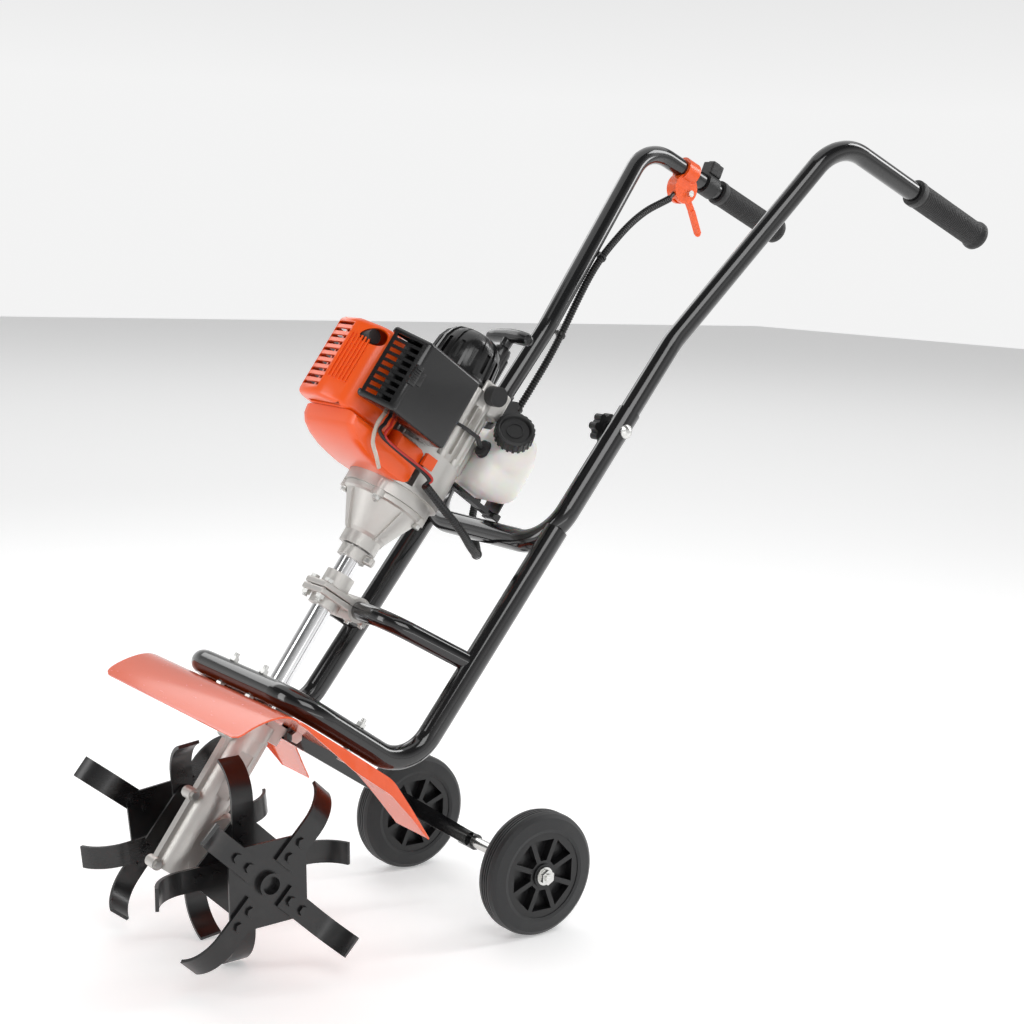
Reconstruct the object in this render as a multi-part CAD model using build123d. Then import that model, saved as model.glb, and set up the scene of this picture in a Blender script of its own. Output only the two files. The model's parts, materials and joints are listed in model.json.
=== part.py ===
"""Mini cultivator with a two-stroke engine, driven through an aluminium shaft tube.

Frame: +X forward (the tine end), +Y to the operator's left, +Z up, millimetres.
The origin is at the middle of the bounding box, on the ground. The machine stands on
its two wheels and on the lowest tines. The engine, drive tube and gearbox are drawn in
the shaft frame: local z runs up the drive tube, local x points forward and up (along the
cylinder bore), local y is the machine's left.
"""
from build123d import *
import os
from math import sin, cos, tan, radians, degrees, pi, atan2, sqrt

# ---------------------------------------------------------------- driving dimensions
AXLE_X = 92.08           # wheel axle, ahead of the middle of the machine
WHEEL_R = 75.0           # 150 mm (6 inch) wheels
WHEEL_W = 34.0
WHEEL_Y = 136.0          # middle of each wheel
AXLE_R = 5.0

TINE_X = AXLE_X + 354.0  # tine shaft
TINE_TIP_R = 117.4       # to the middle of a blade's end
BLADE_W = 26.0
BLADE_T = 4.0
TINE_Z = 119.935         # lowest blade corner just touches the ground
STAR_OUTER_Y = 124.0     # plane between plate and blades, outer star
STAR_INNER_Y = 64.6      # same, inner star
BLADE_BEND = 30.0        # how far a blade's end is bent sideways
LEFT_PHASE = (41.9, -2.7)     # blade angles of the left outer and inner star, degrees
RIGHT_PHASE = (36.9, -8.0)    # same for the right side

SHAFT_ANGLE = 56.46      # drive tube above the horizontal
SHAFT_X = AXLE_X + 187.4 # a point on the drive tube's axis, local z = 0
SHAFT_Z = 441.6
DRIVE_TUBE_D = 24.0
DRIVE_TUBE_WALL = 1.6

FRAME_D = 28.0           # lower frame and U-shaped upper frame tube
FRAME_WALL = 1.4
HANDLE_D = 25.0
HANDLE_WALL = 1.5
FRAME_Y = 125.0          # half the distance between the uprights
FRAME_ANGLE = 53.2       # uprights above the horizontal
UPRIGHT_X = AXLE_X + 158.8    # a point on the uprights' line, at height UPRIGHT_Z
UPRIGHT_Z = 250.0
LOOP_FRONT = (AXLE_X + 325.0, 316.5)   # front tube of the lower loop, X and Z
SOCKET_TOP = 462.0       # distances along the upright's line from the point above
KNOB_AT = 435.0
SPLAY_AT = 566.0
CROSS_TUBE_AT = 268.0
LOOP_BEND_AT = -36.6
CROSSBAR_AT = 105.0
HANDLE_TOP = (AXLE_X - 385.0, 180.0, 955.0)   # where the arm and grip lines meet, left
HANDLE_END = (AXLE_X - 644.3, 186.0, 850.0)   # direction of the grip
GRIP_FROM = 150.0        # grip's ends, from HANDLE_TOP
GRIP_TO = 287.0

FENDER_T = 2.0
FENDER_Y = 164.0

CABLE_D = 10.0           # corrugated sleeve of the throttle cable and switch wires

X_AXIS = Vector(1, 0, 0)
Y_AXIS = Vector(0, 1, 0)

shaft_plane = Plane(
    origin=(SHAFT_X, 0, SHAFT_Z),
    x_dir=(sin(radians(SHAFT_ANGLE)), 0, cos(radians(SHAFT_ANGLE))),
    z_dir=(-cos(radians(SHAFT_ANGLE)), 0, sin(radians(SHAFT_ANGLE))),
)
SHAFT = shaft_plane.location
tine_local = shaft_plane.to_local_coords(Vector(TINE_X, 0, TINE_Z))
TINE_B, TINE_A = tine_local.X, tine_local.Z

parts = {}
frame_bolts = []         # M6 and M8 bolts of the frame, collected as the parts are made
engine_screws = []       # M5 screws of the engine, gearbox and controls


def keep(name, shape):
    """Store one node. A node is one solid or a group of separate solids."""
    solids = [s for s in shape.solids() if s.volume > 0.5]
    node = solids[0] if len(solids) == 1 else Compound(children=solids)
    node.label = name
    parts[name] = node
    return node


# ---------------------------------------------------------------- small tools
def vec(p):
    return Vector(*p)


def rod(start, end, radius):
    """Round bar between two points."""
    axis = vec(end) - vec(start)
    return Plane(origin=start, z_dir=axis) * Cylinder(
        radius, axis.length, align=(Align.CENTER, Align.CENTER, Align.MIN))


def pipe(start, end, outer, inner):
    """Straight tube between two points."""
    return rod(start, end, outer) - rod(start, end, inner)


def zrod(radius, z0, z1, x=0, y=0):
    return rod((x, y, z0), (x, y, z1), radius)


def yrod(radius, y0, y1, x=0, z=0):
    return rod((x, y0, z), (x, y1, z), radius)


def zring(outer, inner, z0, z1, x=0, y=0):
    return pipe((x, y, z0), (x, y, z1), outer, inner)


def block(x0, x1, y0, y1, z0, z1, edge=0.0):
    """Box from its limits, with rounded edges where a radius is given."""
    box = Pos((x0 + x1) / 2, (y0 + y1) / 2, (z0 + z1) / 2) * Box(x1 - x0, y1 - y0, z1 - z0)
    return fillet(box.edges(), edge) if edge else box


def beam(start, end, width, height):
    """Square bar between two points in the machine's middle plane, width along Y."""
    axis = vec(end) - vec(start)
    return Plane(origin=start, x_dir=(0, 1, 0), z_dir=axis) * Box(
        width, height, axis.length, align=(Align.CENTER, Align.CENTER, Align.MIN))


def hexagon(start, end, across):
    """Hexagonal bar, as a bolt's head or a nut."""
    axis = vec(end) - vec(start)
    return extrude(Plane(origin=start, z_dir=axis) * RegularPolygon(across / sqrt(3), 6), axis.length)


def bolt(under_head, axis, d, length, across=None, head=None):
    """Hexagon bolt: head on one side of the point, shank on the other."""
    a = vec(axis).normalized()
    p = vec(under_head)
    across = across or 1.7 * d
    head = head or 0.7 * d
    return hexagon(p, p - a * head, across) + rod(p, p + a * length, d / 2)


def swept(points, radii, outer, inner=0.0):
    """Bent round bar or tube along straight runs joined by tangent arcs."""
    path = FilletPolyline(*points, radius=radii)
    section = Circle(outer) - Circle(inner) if inner else Circle(outer)
    return sweep(Plane(origin=path @ 0, z_dir=path % 0) * section, path=path)


def on_upright(s, y):
    """Point on the uprights' line at distance s, at side y."""
    a = radians(FRAME_ANGLE)
    return (UPRIGHT_X - s * cos(a), y, UPRIGHT_Z + s * sin(a))


# ---------------------------------------------------------------- frame tubes
def lower_points():
    x, z = LOOP_FRONT
    return [on_upright(292, FRAME_Y), on_upright(LOOP_BEND_AT, FRAME_Y), (x, FRAME_Y, z),
            (x, -FRAME_Y, z), on_upright(LOOP_BEND_AT, -FRAME_Y), on_upright(292, -FRAME_Y)]


def upper_points():
    return [on_upright(SOCKET_TOP, FRAME_Y), on_upright(CROSS_TUBE_AT, FRAME_Y),
            on_upright(CROSS_TUBE_AT, -FRAME_Y), on_upright(SOCKET_TOP, -FRAME_Y)]


def crossbar_points():
    bar = shaft_plane.from_local_coords(Vector(-32, 0, -46))
    return [on_upright(CROSSBAR_AT, FRAME_Y), (bar.X, 84, bar.Z), (bar.X, -84, bar.Z),
            on_upright(CROSSBAR_AT, -FRAME_Y)]


def handle_points(side):
    top = vec(HANDLE_TOP)
    end = top + (vec(HANDLE_END) - top).normalized() * (GRIP_TO - 6)
    pts = [vec(on_upright(KNOB_AT - 34, FRAME_Y)), vec(on_upright(SPLAY_AT, FRAME_Y)), top, end]
    return [(p.X, side * p.Y, p.Z) for p in pts]


def frame_tubes():
    upper_solid = swept(upper_points(), [50, 50], FRAME_D / 2)
    upper = swept(upper_points(), [50, 50], FRAME_D / 2, FRAME_D / 2 - FRAME_WALL)
    lower_solid = swept(lower_points(), [50, 44, 44, 50], FRAME_D / 2)
    lower = swept(lower_points(), [50, 44, 44, 50], FRAME_D / 2, FRAME_D / 2 - FRAME_WALL)
    lower = max((lower - upper_solid).solids(), key=lambda s: s.volume)
    bar = swept(crossbar_points(), [42, 42], 11, 9.6)
    bar = max((bar - lower_solid).solids(), key=lambda s: s.volume)
    for side in (1, -1):
        knob = vec(on_upright(KNOB_AT, side * FRAME_Y))
        upper -= rod(knob + Y_AXIS * 20, knob - Y_AXIS * 20, 4.0)
    for p in fender_bolt_places():
        lower -= rod(vec(p) + loop_normal() * 20, vec(p) - loop_normal() * 20, 3.0)
    keep("lower_frame", lower)
    keep("upper_frame", upper)
    keep("shaft_crossbar", bar)


def handles():
    grips = []
    for side, name in ((1, "left"), (-1, "right")):
        pts = handle_points(side)
        bar = swept(pts, [110, 60], HANDLE_D / 2, HANDLE_D / 2 - HANDLE_WALL)
        knob = vec(on_upright(KNOB_AT, side * FRAME_Y))
        bar -= rod(knob + Y_AXIS * 20, knob - Y_AXIS * 20, 4.0)
        keep("handle_bar_" + name, bar)
        grips.append(grip(pts))
    keep("handle_grips", Compound(children=grips))


def grip(pts):
    """Ribbed rubber grip, closed at its end, with a collar and an end flange."""
    top, end = vec(pts[2]), vec(pts[3])
    axis = (end - top).normalized()
    plane = Plane(origin=top + axis * GRIP_FROM, z_dir=axis)
    length = GRIP_TO - GRIP_FROM
    tube_end = length - 6
    body = zring(16.5, HANDLE_D / 2, 0, tube_end) + zrod(16.5, tube_end, length)
    body += zring(17.5, HANDLE_D / 2, 0, 9)
    body += zring(19.0, 14, tube_end - 6, length)
    for i in range(11):
        z = 16 + i * 9.6
        body += zring(17.2, 14, z, z + 5.0)
    return plane * body


def handle_clamps():
    """Through-bolt with a domed head outside and a lobed knob inside, at each socket."""
    for side, name in ((1, "left"), (-1, "right")):
        p = vec(on_upright(KNOB_AT, side * FRAME_Y))
        out = Y_AXIS * side
        dome = Sphere(10.5) - Pos(0, 0, -4.8) * Box(30, 30, 23)
        head = zrod(8.5, 0, 2.2) + Pos(0, 0, -4.5) * dome
        head = Plane(origin=p + out * 14, z_dir=out) * head
        frame_bolts.append(head + rod(p + out * 14, p - out * 31, 3.9))
        keep("clamp_knob_" + name, Plane(origin=p - out * 15.5, z_dir=-out) * knob_shape())


def knob_shape():
    """Seven-lobed plastic knob on a short boss, with a blind hole for the bolt."""
    body = zrod(8, 0, 6) + zrod(14.5, 5, 17)
    for i in range(7):
        a = 2 * pi * i / 7
        body += zrod(4.6, 5, 17, 14.2 * cos(a), 14.2 * sin(a))
    return body - zrod(4.0, -1, 15.6)


# ---------------------------------------------------------------- fender
def fender_line():
    """Side view of the top sheet from the front lip to the tail, X and Z."""
    return [(AXLE_X + 417, 297), (AXLE_X + 358, 315), (AXLE_X + 219, 221), (AXLE_X + 174, 152)]


def fender():
    """Bent sheet over the tines, with side skirts and a raised tunnel for the wheel arm."""
    line = FilletPolyline(*fender_line(), radius=[34, 40])
    top = extrude(Plane.XZ * trace(line, line_width=FENDER_T), FENDER_Y, both=True)
    skirt_points = [(AXLE_X + 322, 290.6), (AXLE_X + 322, 272), (AXLE_X + 168, 149),
                    (AXLE_X + 174, 152.5), (AXLE_X + 212, 211), (AXLE_X + 224, 224)]
    skirt = extrude(Plane.XZ * make_face(Polyline(*skirt_points, close=True)), 1.0, both=True)
    body = top
    for side in (1, -1):
        body += Pos(0, side * (FENDER_Y - 1.0), 0) * skirt
    front, rear = arm_line()
    axis = (vec(rear) - vec(front)).normalized()
    start = vec(front) - axis * 19
    end = vec(front) + axis * 130
    body -= beam(start, end, 60, 34)
    above = Plane(origin=start, x_dir=(0, 1, 0), z_dir=axis)
    tunnel = above * (tunnel_block(64, 19) - tunnel_block(60, 17))
    limit = extrude(Plane.XZ * make_face(Polyline(*fender_upper_side(), close=True)), 60, both=True)
    body += tunnel & limit
    body -= SHAFT * zrod(DRIVE_TUBE_D / 2 + 2, -230, -150)
    for p in fender_bolt_places():
        body -= rod(vec(p) + loop_normal() * 20, vec(p) - loop_normal() * 40, 3.0)
    keep("fender", body)


def tunnel_block(width, height):
    """Prism with sloping sides, run along the wheel arm; y points up from the arm."""
    half = width / 2
    points = [(half, -height), (-half, -height), (-half + 9, height), (half - 9, height)]
    up = [(x, -y) for x, y in points]
    return extrude(make_face(Polyline(*up, close=True)), 132)


def fender_upper_side():
    """Region above the sheet's line, from the tunnel's front to its rear end."""
    a = AXLE_X
    return [(a + 290, 268), (a + 219, 221), (a + 192, 180), (a + 192, 330), (a + 290, 330)]


def fender_bolt_places():
    """Bolt axes: two through the front tube, one through each side tube."""
    x, z = LOOP_FRONT
    side = vec(on_upright(LOOP_BEND_AT, 0))
    mid = (side + Vector(x, 0, z)) * 0.5
    return [(x, -34, z), (x, 34, z), (mid.X, FRAME_Y, mid.Z), (mid.X, -FRAME_Y, mid.Z)]


def fender_bolts():
    """M6 bolts with a nut on top, through the tube and the fender."""
    for p in fender_bolt_places():
        v = vec(p)
        up = loop_normal()
        stud = rod(v + up * 24, v - up * 28, 2.95)
        nuts = hexagon(v + up * 14.1, v + up * 19, 10) + hexagon(v - up * 17.6, v - up * 14.1, 10)
        frame_bolts.append(stud + nuts + hexagon(v - up * 28.5, v - up * 25, 10))


def loop_normal():
    """Direction square to the plane of the lower loop."""
    low, high = vec(on_upright(LOOP_BEND_AT, 0)), Vector(LOOP_FRONT[0], 0, LOOP_FRONT[1])
    return (high - low).normalized().cross(Y_AXIS)


# ---------------------------------------------------------------- wheels and arm
def arm_line():
    front = shaft_plane.from_local_coords(Vector(-49.5, 0, -206))
    return (front.X, 0, front.Z), (AXLE_X, 0, WHEEL_R)


def wheel_arm():
    """Square tube from the gearbox to the axle, with its pivot bolt and the axle fittings."""
    front, rear = arm_line()
    axis = (vec(rear) - vec(front)).normalized()
    start = vec(front) - axis * 11
    end = vec(rear) - axis * 6
    tube = beam(start, end, 18, 18) - beam(start, end, 14.4, 14.4)
    arm = tube - yrod(9.9, -20, 20, AXLE_X, WHEEL_R) + yrod(10, -14, 14, AXLE_X, WHEEL_R)
    arm -= yrod(AXLE_R, -30, 30, AXLE_X, WHEEL_R)
    arm -= yrod(4.0, -30, 30, front[0], front[2])
    keep("wheel_arm", arm)
    frame_bolts.append(bolt((front[0], 9, front[2]), (0, -1, 0), 8, 22, 13)
                       + hexagon((front[0], -9, front[2]), (front[0], -15, front[2]), 13))
    group = [yrod(AXLE_R, -164, 164, AXLE_X, WHEEL_R)]
    for side in (1, -1):
        y = WHEEL_Y + WHEEL_W / 2
        y_in = WHEEL_Y - WHEEL_W / 2
        washer = pipe((AXLE_X, side * (y + 0.6), WHEEL_R), (AXLE_X, side * (y + 2.2), WHEEL_R), 11, AXLE_R)
        nut = hexagon((AXLE_X, side * (y + 2.2), WHEEL_R), (AXLE_X, side * (y + 8.6), WHEEL_R), 16)
        nut -= yrod(AXLE_R, -200, 200, AXLE_X, WHEEL_R)
        group += [washer + nut]
        group += [pipe((AXLE_X, side * 14, WHEEL_R), (AXLE_X, side * (y_in - 0.6), WHEEL_R), 7, AXLE_R)]
    keep("wheel_axle", Compound(children=group))


def wheel(side, name):
    """Solid rubber tyre on a moulded hub with eight wedge-shaped recesses."""
    y0, y1 = WHEEL_Y - WHEEL_W / 2, WHEEL_Y + WHEEL_W / 2
    section = [(52, y0 + 1), (56, y0), (69, y0 + 1.5), (73.5, y0 + 5), (WHEEL_R, y0 + 10),
               (WHEEL_R, y1 - 10), (73.5, y1 - 5), (69, y1 - 1.5), (56, y1), (52, y1 - 1)]
    tyre = revolve(Plane.XY * make_face(Polyline(*section, close=True)), Axis.Y)
    for yc in (y0 + 13, y0 + 17, y0 + 21):
        tyre -= pipe((0, yc - 0.8, 0), (0, yc + 0.8, 0), 80, WHEEL_R - 1.2)
    bore = AXLE_R + 0.06
    hub = pipe((0, y0 + 2, 0), (0, y1 - 2, 0), 52, bore)
    for face, out in ((y1 - 2, 1), (y0 + 2, -1)):
        for i in range(8):
            hub -= Rot(0, 45 * i, 0) * wedge(face - out * 11, face + out * 1)
    hub += pipe((0, y0 + 0.2, 0), (0, y1 + 0.2, 0), 14, bore)
    place = Pos(AXLE_X, 0, WHEEL_R)
    flip = Location() if side > 0 else Rot(0, 0, 180)
    keep("tyre_" + name, place * (flip * tyre))
    keep("wheel_hub_" + name, place * (flip * hub))


def wedge(ya, yb):
    """One recess between two spokes, cut from a face of the hub."""
    inner, outer, half = 18.0, 45.0, radians(18.5)
    pts = [(inner, -4.2), (outer * cos(half), -outer * sin(half)),
           (outer * cos(half), outer * sin(half)), (inner, 4.2)]
    face = make_face(Polyline(*[(p[0], p[1]) for p in pts], close=True))
    solid = extrude(Plane.XZ * face, yb - ya if yb > ya else ya - yb)
    low = min(ya, yb)
    return Pos(0, low - solid.bounding_box().min.Y, 0) * solid


# ---------------------------------------------------------------- gearbox and tines
def gearbox():
    """Worm gearbox in two halves, split on the machine's middle plane."""
    screw_places = ((27, -318), (23, -402), (27, -240), (-29, -300))
    case = zrod(21, -404, -212) + zrod(23, -232, -212)
    case += yrod(43, -21, 21, TINE_B, TINE_A) + yrod(17, -32, 32, TINE_B, TINE_A)
    case += block(10, 26, -5, 5, -404, -228) + block(-26, -10, -5, 5, -320, -228)
    for x, z in screw_places:
        case += yrod(7, -9, 9, x, z)
        case -= yrod(5.4, 9, 30, x, z) + yrod(5.4, -30, -9, x, z)
    front, rear = arm_line()
    pivot = shaft_plane.to_local_coords(vec(front))
    case += yrod(6.6, -6, 6, pivot.X, pivot.Z) + block(pivot.X, -36, -6, 6, pivot.Z - 6.6, pivot.Z + 3)
    case += block(-37, -11, -6, 6, -226, pivot.Z + 3)
    # inside: drive tube socket, worm bore, worm wheel chamber, tine shaft bore
    case -= zrod(DRIVE_TUBE_D / 2, -252, -200) + zrod(13, -392, -251)
    case -= yrod(33, -14, 14, TINE_B, TINE_A) + yrod(10.06, -60, 60, TINE_B, TINE_A)
    case -= yrod(4.0, -30, 30, pivot.X, pivot.Z)
    for x, z in screw_places:
        case -= yrod(2.5, -30, 30, x, z)
        engine_screws.append(SHAFT * (bolt((x, 9, z), (0, -1, 0), 5, 20, 8)
                                      + hexagon((x, -9, z), (x, -13, z), 8)))
    for side in (1, -1):                 # shallow panels in the neck's sides
        for z0 in (-306, -274):
            case -= block(-9, 9, side * 20 - 2, side * 20 + 2, z0, z0 + 24)
    big = 700
    keep("gearbox_left", SHAFT * (case & block(-big, big, 0, big, -big, big)))
    keep("gearbox_right", SHAFT * (case & block(-big, big, -big, 0, -big, big)))


def worm_wheel():
    """Bronze worm wheel with 30 teeth, on the tine shaft."""
    teeth, radius = 30, 28.9
    gear = yrod(radius, -9, 9)
    for i in range(teeth):
        a = 2 * pi * i / teeth
        gear -= yrod(1.5, -10, 10, radius * cos(a), radius * sin(a))
    return Pos(TINE_X, 0, TINE_Z) * (gear - yrod(10, -20, 20))


def star(side, plane_y, phase):
    """Plate, four blades and eight bolts of one tine star; blades lie outside the plate."""
    centre = Pos(TINE_X, 0, TINE_Z)
    plate = Rot(90, 0, 0) * extrude(RectangleRounded(94, 94, 14), 1.5, both=True)
    plate = Pos(0, side * (plane_y - 1.5), 0) * (Rot(0, 45 - phase, 0) * plate)
    plate -= yrod(10, -300, 300)
    blades, bolts = [], []
    for k in range(4):
        blade = blade_shape(1 if k % 2 == 0 else -1)
        turn = Rot(0, -(phase + 90 * k), 0)
        if side < 0:
            blade = mirror(blade, Plane.XZ)
        blades.append(centre * (turn * (Pos(0, side * (plane_y + BLADE_T / 2), 0) * blade)))
        for r in (35, 55):
            one = bolt((r, side * (plane_y + BLADE_T), 0), (0, -side, 0), 6, BLADE_T + 8, 10, 3.6)
            one += hexagon((r, side * (plane_y - 3), 0), (r, side * (plane_y - 7), 0), 10)
            bolts.append(centre * (turn * one))
    return centre * plate, blades, bolts


def blade_shape(bend):
    """Flat strip along +X whose end curves sideways in an arc, holes at two radii."""
    straight_to = 75.0
    reach = TINE_TIP_R - straight_to
    arc = 2 * atan2(BLADE_BEND, reach)
    rho = reach / sin(arc)
    line = Line((24, 0, 0), (straight_to, 0, 0))
    curve = JernArc(start=(straight_to, 0, 0), tangent=(1, 0, 0), radius=rho,
                    arc_size=bend * degrees(arc))
    path = Wire([line.edges()[0], curve.edges()[0]])
    section = Plane(origin=(24, 0, 0), x_dir=(0, 1, 0), z_dir=(1, 0, 0)) * Rectangle(BLADE_T, BLADE_W)
    blade = sweep(section, path=path)
    for r in (35, 55):
        blade -= yrod(3.0, -5, 5, r, 0)
    return blade


def tines():
    """Two welded rotors, each a hub tube with two plates, sixteen bolted blades, the shaft."""
    all_blades, all_bolts, rotors = [], [], []
    for side, phases in ((1, LEFT_PHASE), (-1, RIGHT_PHASE)):
        rotor = Pos(TINE_X, 0, TINE_Z) * pipe((0, side * 36, 0), (0, side * 131, 0), 13.5, 10)
        for y, phase in ((STAR_OUTER_Y, phases[0]), (STAR_INNER_Y, phases[1])):
            plate, blades, bolts = star(side, y, phase)
            for b in bolts:
                plate -= b
            rotor += plate
            all_blades += blades
            all_bolts += bolts
        rotors.append(rotor)
    keep("tine_rotors", Compound(children=rotors))
    keep("tine_blades", Compound(children=all_blades))
    keep("tine_bolts", Compound(children=all_bolts))
    keep("tine_shaft", yrod(10, -122, 122, TINE_X, TINE_Z))
    keep("worm_wheel", worm_wheel())


def drive_line():
    """Shaft with its worm, and the clutch drum, which turn inside the tube and gearbox."""
    shaft = zrod(4, -330, 66) + zrod(6, -391, -330) + zrod(7.6, -379, -341)
    for i in range(6):
        shaft += zrod(9.2, -377 + i * 6.2, -374 + i * 6.2)
    keep("drive_shaft", SHAFT * shaft)
    drum = zring(35, 32.6, 66, 86) + zrod(35, 64, 66.4) + zrod(9, 56, 66) - zrod(4, 40, 66)
    keep("clutch_drum", SHAFT * drum)
    keep("drive_tube", SHAFT * zring(DRIVE_TUBE_D / 2, DRIVE_TUBE_D / 2 - DRIVE_TUBE_WALL, -250, 34))
    rings = [zring(DRIVE_TUBE_D / 2 - DRIVE_TUBE_WALL, 4.06, z, z + 16) for z in (-240, -160, -80, 0)]
    rings += [zring(13, 6.06, -390, -381), zring(13, 6.06, -339, -330)]
    rings += [zring(17, 7.56, 149, 159), zring(17, 7.56, 195, 205)]
    keep("shaft_bearings", Compound(children=[SHAFT * r for r in rings]))


# ---------------------------------------------------------------- shaft clamp
def shaft_clamp():
    """Two castings that grip the crossbar between them and hold the drive tube."""
    bar = yrod(15, -22, 22, -32, -46)
    upper = block(-54, 26, -22, 22, -45.6, -38, 2) + zrod(17.5, -45.6, -20)
    upper += bar & block(-54, 26, -22, 22, -45.6, -20)
    lower = block(-54, 26, -22, 22, -54, -46.4, 2) + zrod(18.5, -64, -46.4)
    lower += bar & block(-54, 26, -22, 22, -80, -46.4)
    places = [(20, 15), (20, -15), (-48.5, 15), (-48.5, -15)]
    cut = zrod(DRIVE_TUBE_D / 2, -100, 0) + yrod(11, -60, 60, -32, -46)
    for x, y in places:
        cut += zrod(3.0, -90, 0, x, y) + zrod(6.2, -37.9, -10, x, y) + zrod(6.2, -90, -54.1, x, y)
        frame_bolts.append(SHAFT * (bolt((x, y, -37.9), (0, 0, -1), 6, 24, 10)
                                    + hexagon((x, y, -54.1), (x, y, -59), 10)))
    keep("shaft_clamp_upper", SHAFT * (upper - cut))
    keep("shaft_clamp_lower", SHAFT * (lower - cut))


def tube_collar():
    """Split collar under the clutch housing, with a screw in its ear."""
    turn = Rot(0, 0, 125)
    body = zring(17.5, DRIVE_TUBE_D / 2, 1, 14.5) + turn * block(15, 27, -6, 6, 3, 13, 2)
    body -= zrod(DRIVE_TUBE_D / 2, -5, 20)
    body -= turn * block(11, 30, -0.8, 0.8, 0, 16)
    body -= turn * yrod(2.5, -8, 8, 22, 8)
    keep("tube_collar", SHAFT * body)
    engine_screws.append(SHAFT * (turn * bolt((22, 6, 8), (0, -1, 0), 5, 13, 8, 3)))


# ---------------------------------------------------------------- engine
def clutch_housing():
    """Cone-shaped clutch housing with a four-bolt flange."""
    outer = [(0, 16), (23.4, 16), (23.4, 31), (26.5, 35), (46, 73), (50, 75), (50, 81), (0, 81)]
    rib_limit = [(0, 28), (27, 28), (29, 34), (49.5, 74), (0, 74)]
    cavity = [(0, 36), (15, 36), (15, 44), (37.5, 62), (40.5, 66), (40.5, 90), (0, 90)]
    body = turned(outer)
    rib = block(22, 46, -1.6, 1.6, 30, 74)
    for k in range(4):
        a = radians(45 + 90 * k)
        body += zrod(8, 73, 81, 47 * cos(a), 47 * sin(a))
        body += (Rot(0, 0, 90 * k) * rib) & turned(rib_limit)
    for k in range(4):
        a = radians(45 + 90 * k)
        x, y = 48 * cos(a), 48 * sin(a)
        body -= zrod(2.5, 60, 90, x, y) + zrod(5.6, 60, 73, x, y)
        engine_screws.append(SHAFT * bolt((x, y, 73), (0, 0, 1), 5, 18, 9, 5))
    body -= turned(cavity) + zrod(DRIVE_TUBE_D / 2, 0, 40)
    keep("clutch_housing", SHAFT * body)


def turned(profile):
    """Solid of revolution about the drive tube's axis from radius and height pairs."""
    return revolve(Plane.XZ * make_face(Polyline(*profile, close=True)), Axis.Z)


def crankcase():
    """Cast case: fan volute, crank chamber and the flange for the clutch housing."""
    body = zrod(53.5, 81.2, 100) + zrod(60, 96, 150) + zrod(52, 148, 206)
    for k in range(4):
        a = radians(45 + 90 * k)
        body += zrod(8, 81.2, 93, 47 * cos(a), 47 * sin(a))
    body += block(-64, -30, -20, 20, 152, 200, 5)         # foot that carries the tank
    body -= block(34, 80, -70, 70, 149.6, 220)            # flat seat for the cylinder
    body -= zrod(40.5, 80, 92) + zrod(51, 92, 136)        # room for clutch and flywheel
    body -= zrod(29, 160, 194) + zrod(17, 134, 161) + zrod(17, 192, 212)
    body -= rod((0, 0, 177), (60, 0, 177), 21.8)          # bore towards the cylinder
    body -= block(14, 90, -80, 80, 100.2, 137)            # opening under the fan cover
    for k in range(4):
        a = radians(45 + 90 * k)
        body -= zrod(2.5, 81, 92, 48 * cos(a), 48 * sin(a))
    keep("crankcase", SHAFT * body)


def crank_assembly():
    """Crankshaft, flywheel fan and centrifugal clutch shoes."""
    crank = zrod(7.5, 92, 250) + zrod(26, 163, 171) + zrod(26, 183, 191)
    crank -= zrod(8, 171, 183)
    crank += zrod(6, 170, 184, 13, 0)
    keep("crankshaft", SHAFT * crank)
    fly = zrod(46, 104, 114)
    for i in range(14):
        fly += Rot(0, 0, 360 * i / 14) * block(26, 46, -1.2, 1.2, 113, 128)
    keep("flywheel", SHAFT * (fly - zrod(7.5, 90, 140)))
    shoes = zring(31.5, 12, 72, 84) - block(-40, 40, -3, 3, 60, 100)
    shoes += zrod(12, 70, 92) + zring(12, 7, 90, 103.8) - zrod(7.5, 92, 110)
    keep("clutch_shoes", SHAFT * shoes)


def cylinder():
    """Finned cylinder with a closed head, its spark plug and the plug's boot."""
    low, high = 149.8, 205
    body = rod((34.2, 0, 177), (122, 0, 177), 27) + block(34.2, 40, -30, 30, low, high)
    for i in range(9):
        x = 44 + i * 9.2
        body += block(x, x + 2.2, -34, 34, low, high)
    body -= rod((30, 0, 177), (112, 0, 177), 22) + rod((110, 0, 177), (140, 0, 177), 5)
    keep("cylinder", SHAFT * body)
    plug = rod((112, 0, 177), (128, 0, 177), 4.9) + hexagon((122.1, 0, 177), (127, 0, 177), 16)
    keep("spark_plug", SHAFT * (plug + rod((127, 0, 177), (131, 0, 177), 4.5)))
    boot = rod((131.2, 0, 177), (142, 0, 177), 8) + rod((137, 0, 177), (137, 0, 219), 6)
    boot += rod((137, 0, 214), (137, 26, 221), 8.5)
    keep("spark_plug_boot", SHAFT * boot)


def cylinder_cover():
    """Moulded shroud over the cylinder: louvres on its front face, ribs on the left side."""
    z0, z1 = 131.0, 238.0
    body = Pos(0, 0, z0) * extrude(cover_section(0), z1 - z0)
    body -= Pos(0, 0, z0 + 2.5) * extrude(cover_section(2.5), z1 - z0 - 5)
    body -= block(50, 62.5, -100, 100, 100, 260)
    for i in range(10):                                      # louvres across the front face
        z = z0 + 8 + i * 9.4
        body -= block(143, 160, -36, 2, z, z + 4.8)
    for i in range(7):                                       # ribs on the sloping left side
        z = z0 + 20 + i * 12
        body += rod((151.2, 4, z), (142.2, 25, z), 1.6)
    body -= block(62, 80, 36, 46, 160, 194)                  # intake and exhaust openings
    body -= block(58, 88, -52, -42, 163, 191)
    body -= rod((137, 10, 217), (137, 60, 230), 11)
    body -= zrod(50.3, 200, 260)
    keep("cylinder_cover", SHAFT * body)


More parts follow.
